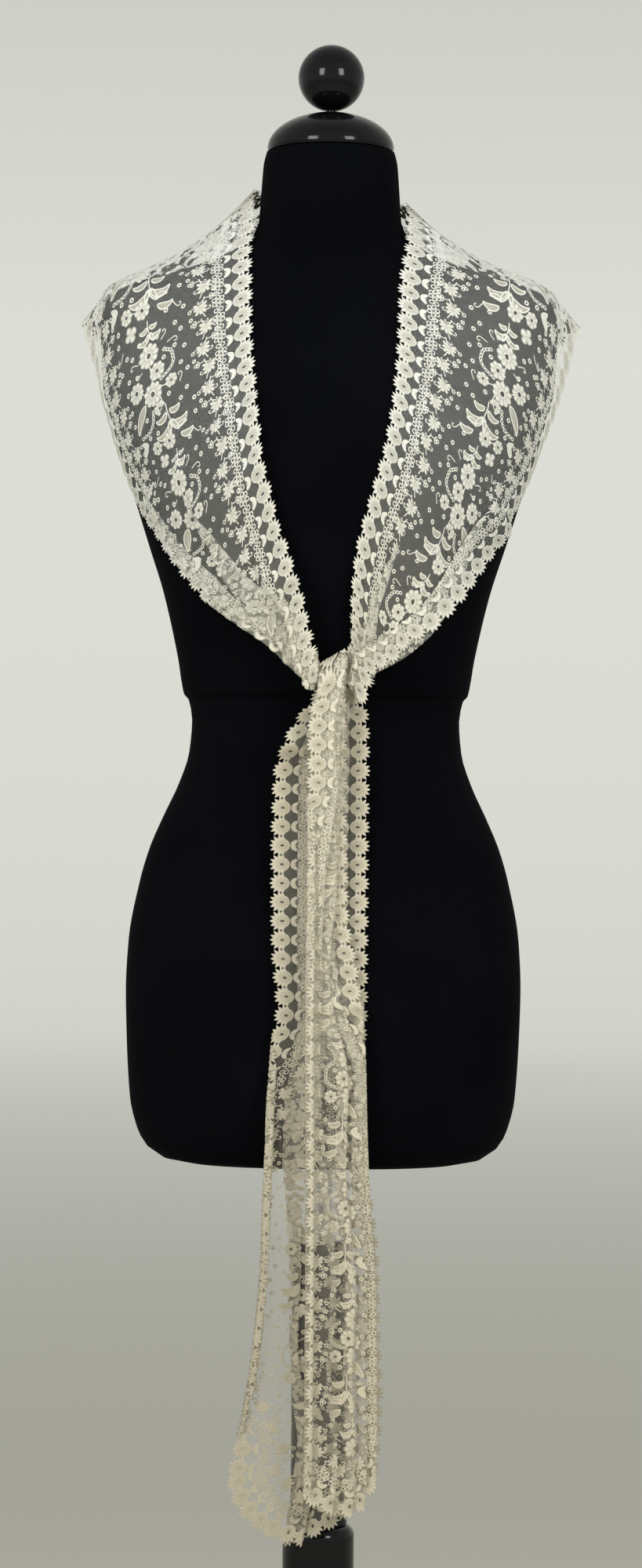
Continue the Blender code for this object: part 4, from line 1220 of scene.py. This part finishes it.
class ShawlSettings(bpy.types.PropertyGroup):
    sizes: PointerProperty(type=LaceSizes)
    colours: PointerProperty(type=Colours)
    stage: PointerProperty(type=StageSettings)


# Pieces


def settings():
    return bpy.context.scene.lace_shawl


def thread(name):
    """The named lace thread, made once: worn; back, greyer with painted shade; tail, yellower and darkened
    towards its end with painted shade; rear, with painted shade throughout, darker to its end.
    """
    colours = settings().colours
    kinds = {
        "worn_lace_thread": (colours.lace, colours.tail_lace, (440, 640), 0.25, colours.lace_shade),
        # behind the neck: painted shade over the back, fading to the plain lace colour at the shoulders
        "shaded_neck_lace_thread": (colours.shaded_neck_lace, colours.lace, (205, 214), 0.25, colours.lace_shade),
        # the knot and front tail: yellower than the worn lace, and darkening to the end with painted shade
        "tail_thread_shaded_low": (colours.tail_lace, colours.tail_shaded_end, (0, 720), 0.5, colours.tail_shade),
        # the rear tail: painted shade throughout, deepening towards its end
        "rear_shaded_lace_thread": (colours.rear_shaded_top, colours.rear_shaded_end, (180, 600), 0.5, colours.tail_shade),
    }
    made = bpy.data.materials.get(name)
    return made or lace_thread_finish(name, *kinds[name], colours.lace_aged)


def net_ground(name):
    """The named net, made once."""
    colours, sizes = settings().colours, settings().sizes
    kinds = {
        "worn_net": (colours.net, colours.tail_lace, (440, 640)),
        # behind the neck: painted shade over the back, fading to the plain net colour at the shoulders
        "shaded_neck_net": (colours.shaded_neck_net, colours.net, (205, 214)),
        # the tails: painted shade, the net darkening from the tail colour towards the bottom
        "tail_shaded_net": (colours.tail_lace, colours.tail_shaded_net, (220, 480)),
    }
    made = bpy.data.materials.get(name)
    return made or net_finish(name, *kinds[name], sizes.net_mesh, sizes.net_thread)


def seat(piece, node):
    """Seats a piece on the part, in the place of a CAD node."""
    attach(piece, "root")
    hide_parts(node)


def dress(net, lace, node):
    """Puts a stretch of the shawl, a net sheet with lace on it, on the root in the place of its CAD solid."""
    seat(net, node)
    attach(lace, "root")


class MakeForm(bpy.types.Operator):
    """Makes the form's knitted cover"""

    bl_idname = "lace_shawl.make_form"
    bl_label = "Dress form"

    def execute(self, context):
        seat(torso_cover(jersey_finish(settings().colours.jersey)), "form_torso")
        return {"FINISHED"}


class MakeStand(bpy.types.Operator):
    """Makes the lacquered cap, ball, column and base, and the steel pole"""

    bl_idname = "lace_shawl.make_stand"
    bl_label = "Stand"

    def execute(self, context):
        lacquer = lacquer_finish(settings().colours.lacquer)
        steel = steel_finish()
        cap_base = NECK_TOP + PART_GAP
        angles = np.radians(np.linspace(0, 86, 24))
        dome = CAP_RADIUS * np.cos(angles), cap_base + CAP_EDGE + (CAP_HEIGHT - CAP_EDGE) * np.sin(angles)
        cap = [(0.5, cap_base), (CAP_RADIUS - 3, cap_base), (CAP_RADIUS - 0.8, cap_base + 0.8)]
        cap += [(CAP_RADIUS, cap_base + CAP_EDGE), *zip(*dome, strict=True)]
        stem_base = cap_base + CAP_HEIGHT - 0.1
        ball = [(0.5, stem_base), (STEM_RADIUS, stem_base), (STEM_RADIUS, BALL_CENTRE - BALL_RADIUS + 0.6)]
        ball += arc_rows(0, BALL_CENTRE, BALL_RADIUS, -80, 89, 48)
        pole_base = COLUMN_TOP + PART_GAP
        pole = [(0.5, pole_base), (POLE_RADIUS, pole_base), (POLE_RADIUS, TORSO_BOTTOM - PART_GAP)]
        column = [(0.5, BASE_HEIGHT + PART_GAP), (31, BASE_HEIGHT + PART_GAP), (31, 352)]
        column += arc_rows(21, 352, 10, 6, 84, 10) + [(24.8, 362.5), (24.5, 366), (24.5, 546)]
        column += arc_rows(24.3, 554, 4.2, -75, 75, 12) + [(24.5, 562), (25, 566), (25, 598)]
        column += arc_rows(17, 600, 8, 0, 90, 10)
        base = [(0.5, 0), (BASE_RADIUS - 4, 0), (BASE_RADIUS - 1.2, 1.2), (BASE_RADIUS, 4)]
        base += arc_rows(BASE_RADIUS - 10, 14, 10, 0, 90, 10)
        for name, profile, material, node, slot in (
            ("neck_cap", cap, lacquer, "form_neck_cap", "lacquer"),
            ("top_ball", ball, lacquer, "form_ball", "lacquer"),
            ("pole", pole, steel, "form_pole", "pole_metal"),
            ("turned_column", column, lacquer, "form_column", "lacquer"),
            ("round_base", base, lacquer, "form_base", "lacquer"),
        ):
            piece = closed_round(name, turned_rings(profile), material)
            piece.data.set_sharp_from_angle(angle=math.radians(SHARP_ANGLE))
            seat(piece, node)
        return {"FINISHED"}


class MakeWornLace(bpy.types.Operator):
    """Makes the part of the shawl that lies over the shoulders"""

    bl_idname = "lace_shawl.make_worn_lace"
    bl_label = "Worn lace"

    def execute(self, context):
        sizes = settings().sizes
        repeats = (sizes.worn_border_repeat / MM, sizes.sprig_repeat / MM, sizes.bouquet_repeat / MM)
        sides, behind = [], Lace()
        for name, table, folds in (("left", LEFT_SIDE, LEFT_FOLDS), ("right", RIGHT_SIDE, RIGHT_FOLDS)):
            stretch = worn_side(name, table, folds)
            sides.append(stretch)
            last = stretch.along[-1]
            worked = worked_lace(last, False, *repeats)
            points, *rest = kept_shapes(worked, lambda along, across: along < SHOULDER)
            behind.add((points * (SIDE_LAP[name], 1, 1), *rest))
            front = kept_shapes(worked, lambda along, across: along >= SHOULDER)
            ground = net_ground("worn_net")
            net = net_sheet("net_front_" + name, stretch, SHOULDER, last, WORN_NET_COLUMNS, False, ground)
            lace = lace_object("lace_front_" + name, stretch, front, sizes.relief, thread("worn_lace_thread"))
            dress(net, lace, "shawl_front_" + name)
        back = joined_back(*sides)
        ground = net_ground("shaded_neck_net")
        net = net_sheet("net_back", back, -SHOULDER, SHOULDER, WORN_NET_COLUMNS, False, ground)
        lace = lace_object("lace_back", back, behind.arrays(), sizes.relief, thread("shaded_neck_lace_thread"))
        dress(net, lace, "shawl_back")
        return {"FINISHED"}


class MakeTails(bpy.types.Operator):
    """Makes the shawl's two hanging tails"""

    bl_idname = "lace_shawl.make_tails"
    bl_label = "Tails"

    def execute(self, context):
        sizes = settings().sizes
        repeats = (sizes.tail_border_repeat / MM, sizes.sprig_repeat / MM, sizes.bouquet_repeat / MM)
        for name, stretch, kind in (
            ("rear", rear_tail(), "rear_shaded_lace_thread"),
            ("front", front_tail(), "tail_thread_shaded_low"),
        ):
            last = stretch.along[-1]
            ground = net_ground("tail_shaded_net")
            net = net_sheet("net_tail_" + name, stretch, 0.0, last, TAIL_NET_COLUMNS, True, ground)
            worked = worked_lace(last, True, *repeats)
            lace = lace_object("lace_tail_" + name, stretch, worked, sizes.relief, thread(kind))
            dress(net, lace, "shawl_tail_" + name)
        return {"FINISHED"}


class MakeKnot(bpy.types.Operator):
    """Makes the gathered strand that crosses in the knot"""

    bl_idname = "lace_shawl.make_knot"
    bl_label = "Knot"

    def execute(self, context):
        share = np.linspace(0, 1, KNOT_ROWS)[:, None]
        x = np.broadcast_to(np.linspace(KNOT_LEFT, KNOT_RIGHT, KNOT_COLUMNS), (KNOT_ROWS, KNOT_COLUMNS))
        half = 3.2 + 0.8 * np.cos(2 * math.pi * 5 * share + 0.09 * x) - 2.2 * np.abs(2 * share - 1) ** 4
        z = np.broadcast_to(KNOT_BOTTOM + KNOT_HEIGHT * share, x.shape)
        front, back = (np.stack([x, side * half - KNOT_FORWARD, z], axis=-1) for side in (-1, 1))
        points = np.concatenate([front, back[::-1]]).reshape(-1, 3)
        faces = grid_faces(2 * KNOT_ROWS + 1, KNOT_COLUMNS) % len(points)
        # The knot's flat-cut places are its heights, beyond the span, so it takes the tail's darker end
        # colour, a painted shade.
        finish = thread("tail_thread_shaded_low")
        knot = new_object("gathered_knot", points, faces, finish, points[:, [0, 2]], np.ones(len(points)))
        seat(knot, "shawl_knot")
        return {"FINISHED"}


class MakeStage(bpy.types.Operator):
    """Makes the backdrop, the soft lights and the camera"""

    bl_idname = "lace_shawl.make_stage"
    bl_label = "Studio"

    def execute(self, context):
        colours, stage, scene = settings().colours, settings().stage, context.scene
        make_surroundings(backdrop_finish(colours.backdrop, colours.painted_glow_wall))
        for name, x in LIGHTS:
            light = bpy.data.lights.new(name, "AREA")
            light.shape = "RECTANGLE"
            light.size, light.size_y = LIGHT_SIZE
            light.energy = stage.main_light
            box = bpy.data.objects.new(name, light)
            scene.collection.objects.link(box)
            box.location = (x, -LIGHT_FORWARD, LIGHT_HEIGHT)
            aim = Vector((0, 0, LIGHT_AIM)) - box.location
            box.rotation_euler = aim.to_track_quat("-Z", "Y").to_euler()
        scene.world = bpy.data.worlds.new("soft_room")
        scene.world.use_nodes = True
        air = scene.world.node_tree.nodes["Background"].inputs
        air["Color"].default_value, air["Strength"].default_value = SKY_COLOUR, stage.sky
        camera = bpy.data.cameras.new("photo_view")
        camera.sensor_width, camera.lens = SENSOR, SENSOR * stage.distance / PICTURE_HEIGHT
        view = bpy.data.objects.new("photo_view", camera)
        scene.collection.objects.link(view)
        view.location = (VIEW_X, -stage.distance, VIEW_HEIGHT)
        view.rotation_euler = (math.radians(90), math.radians(VIEW_ROLL), 0)
        scene.camera = view
        scene.view_settings.view_transform = "Standard"
        return {"FINISHED"}


def make_surroundings(paper):
    """A round pale floor that sweeps up, far out, into a pale wall, which lets the room's light through. Far
    out, the paper glows as painted light.
    """
    floor = [(0.0, 0.0), (400.0, 0.0), (1500.0, 0.0), (4000.0, 0.0), (SWEEP_START, 0.0)]
    sweep = arc_rows(SWEEP_START, SWEEP_RADIUS, SWEEP_RADIUS, -85, 0, 17)
    wall = [floor[-1], *sweep, (SWEEP_START + SWEEP_RADIUS, WALL_TOP)]
    for name, profile in (("floor", floor), ("painted_glow_wall", wall)):
        rings = turned_rings(np.array(profile) - (0, FLOOR_DROP))
        made = new_object(name, rings.reshape(-1, 3), ring_faces(len(profile), TURNED_SIDES), paper)
        made.visible_diffuse = made.visible_shadow = name != "painted_glow_wall"


class ShawlPanel(bpy.types.Panel):
    """Lists the pieces and their settings"""

    bl_idname = "VIEW3D_PT_lace_shawl"
    bl_label = "Lace shawl"
    bl_space_type = "VIEW_3D"
    bl_region_type = "UI"
    bl_category = "Lace shawl"

    def draw(self, context):
        layout = self.layout
        shown = context.scene.lace_shawl
        for operator in STEPS:
            layout.operator(operator.bl_idname)
        for group in (shown.sizes, shown.colours, shown.stage):
            for name in group.bl_rna.properties.keys():
                if name not in ("rna_type", "name"):
                    layout.prop(group, name)


STEPS = (MakeForm, MakeStand, MakeKnot, MakeWornLace, MakeTails, MakeStage)
CLASSES = (LaceSizes, Colours, StageSettings, ShawlSettings, *STEPS, ShawlPanel)


def register():
    for cls in CLASSES:
        bpy.utils.register_class(cls)
    bpy.types.Scene.lace_shawl = PointerProperty(type=ShawlSettings)


def unregister():
    del bpy.types.Scene.lace_shawl
    for cls in reversed(CLASSES):
        bpy.utils.unregister_class(cls)


def main():
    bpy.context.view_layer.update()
    register()
    for step in STEPS:
        category, name = step.bl_idname.split(".")
        getattr(getattr(bpy.ops, category), name)()


if __name__ == "__main__":
    main()
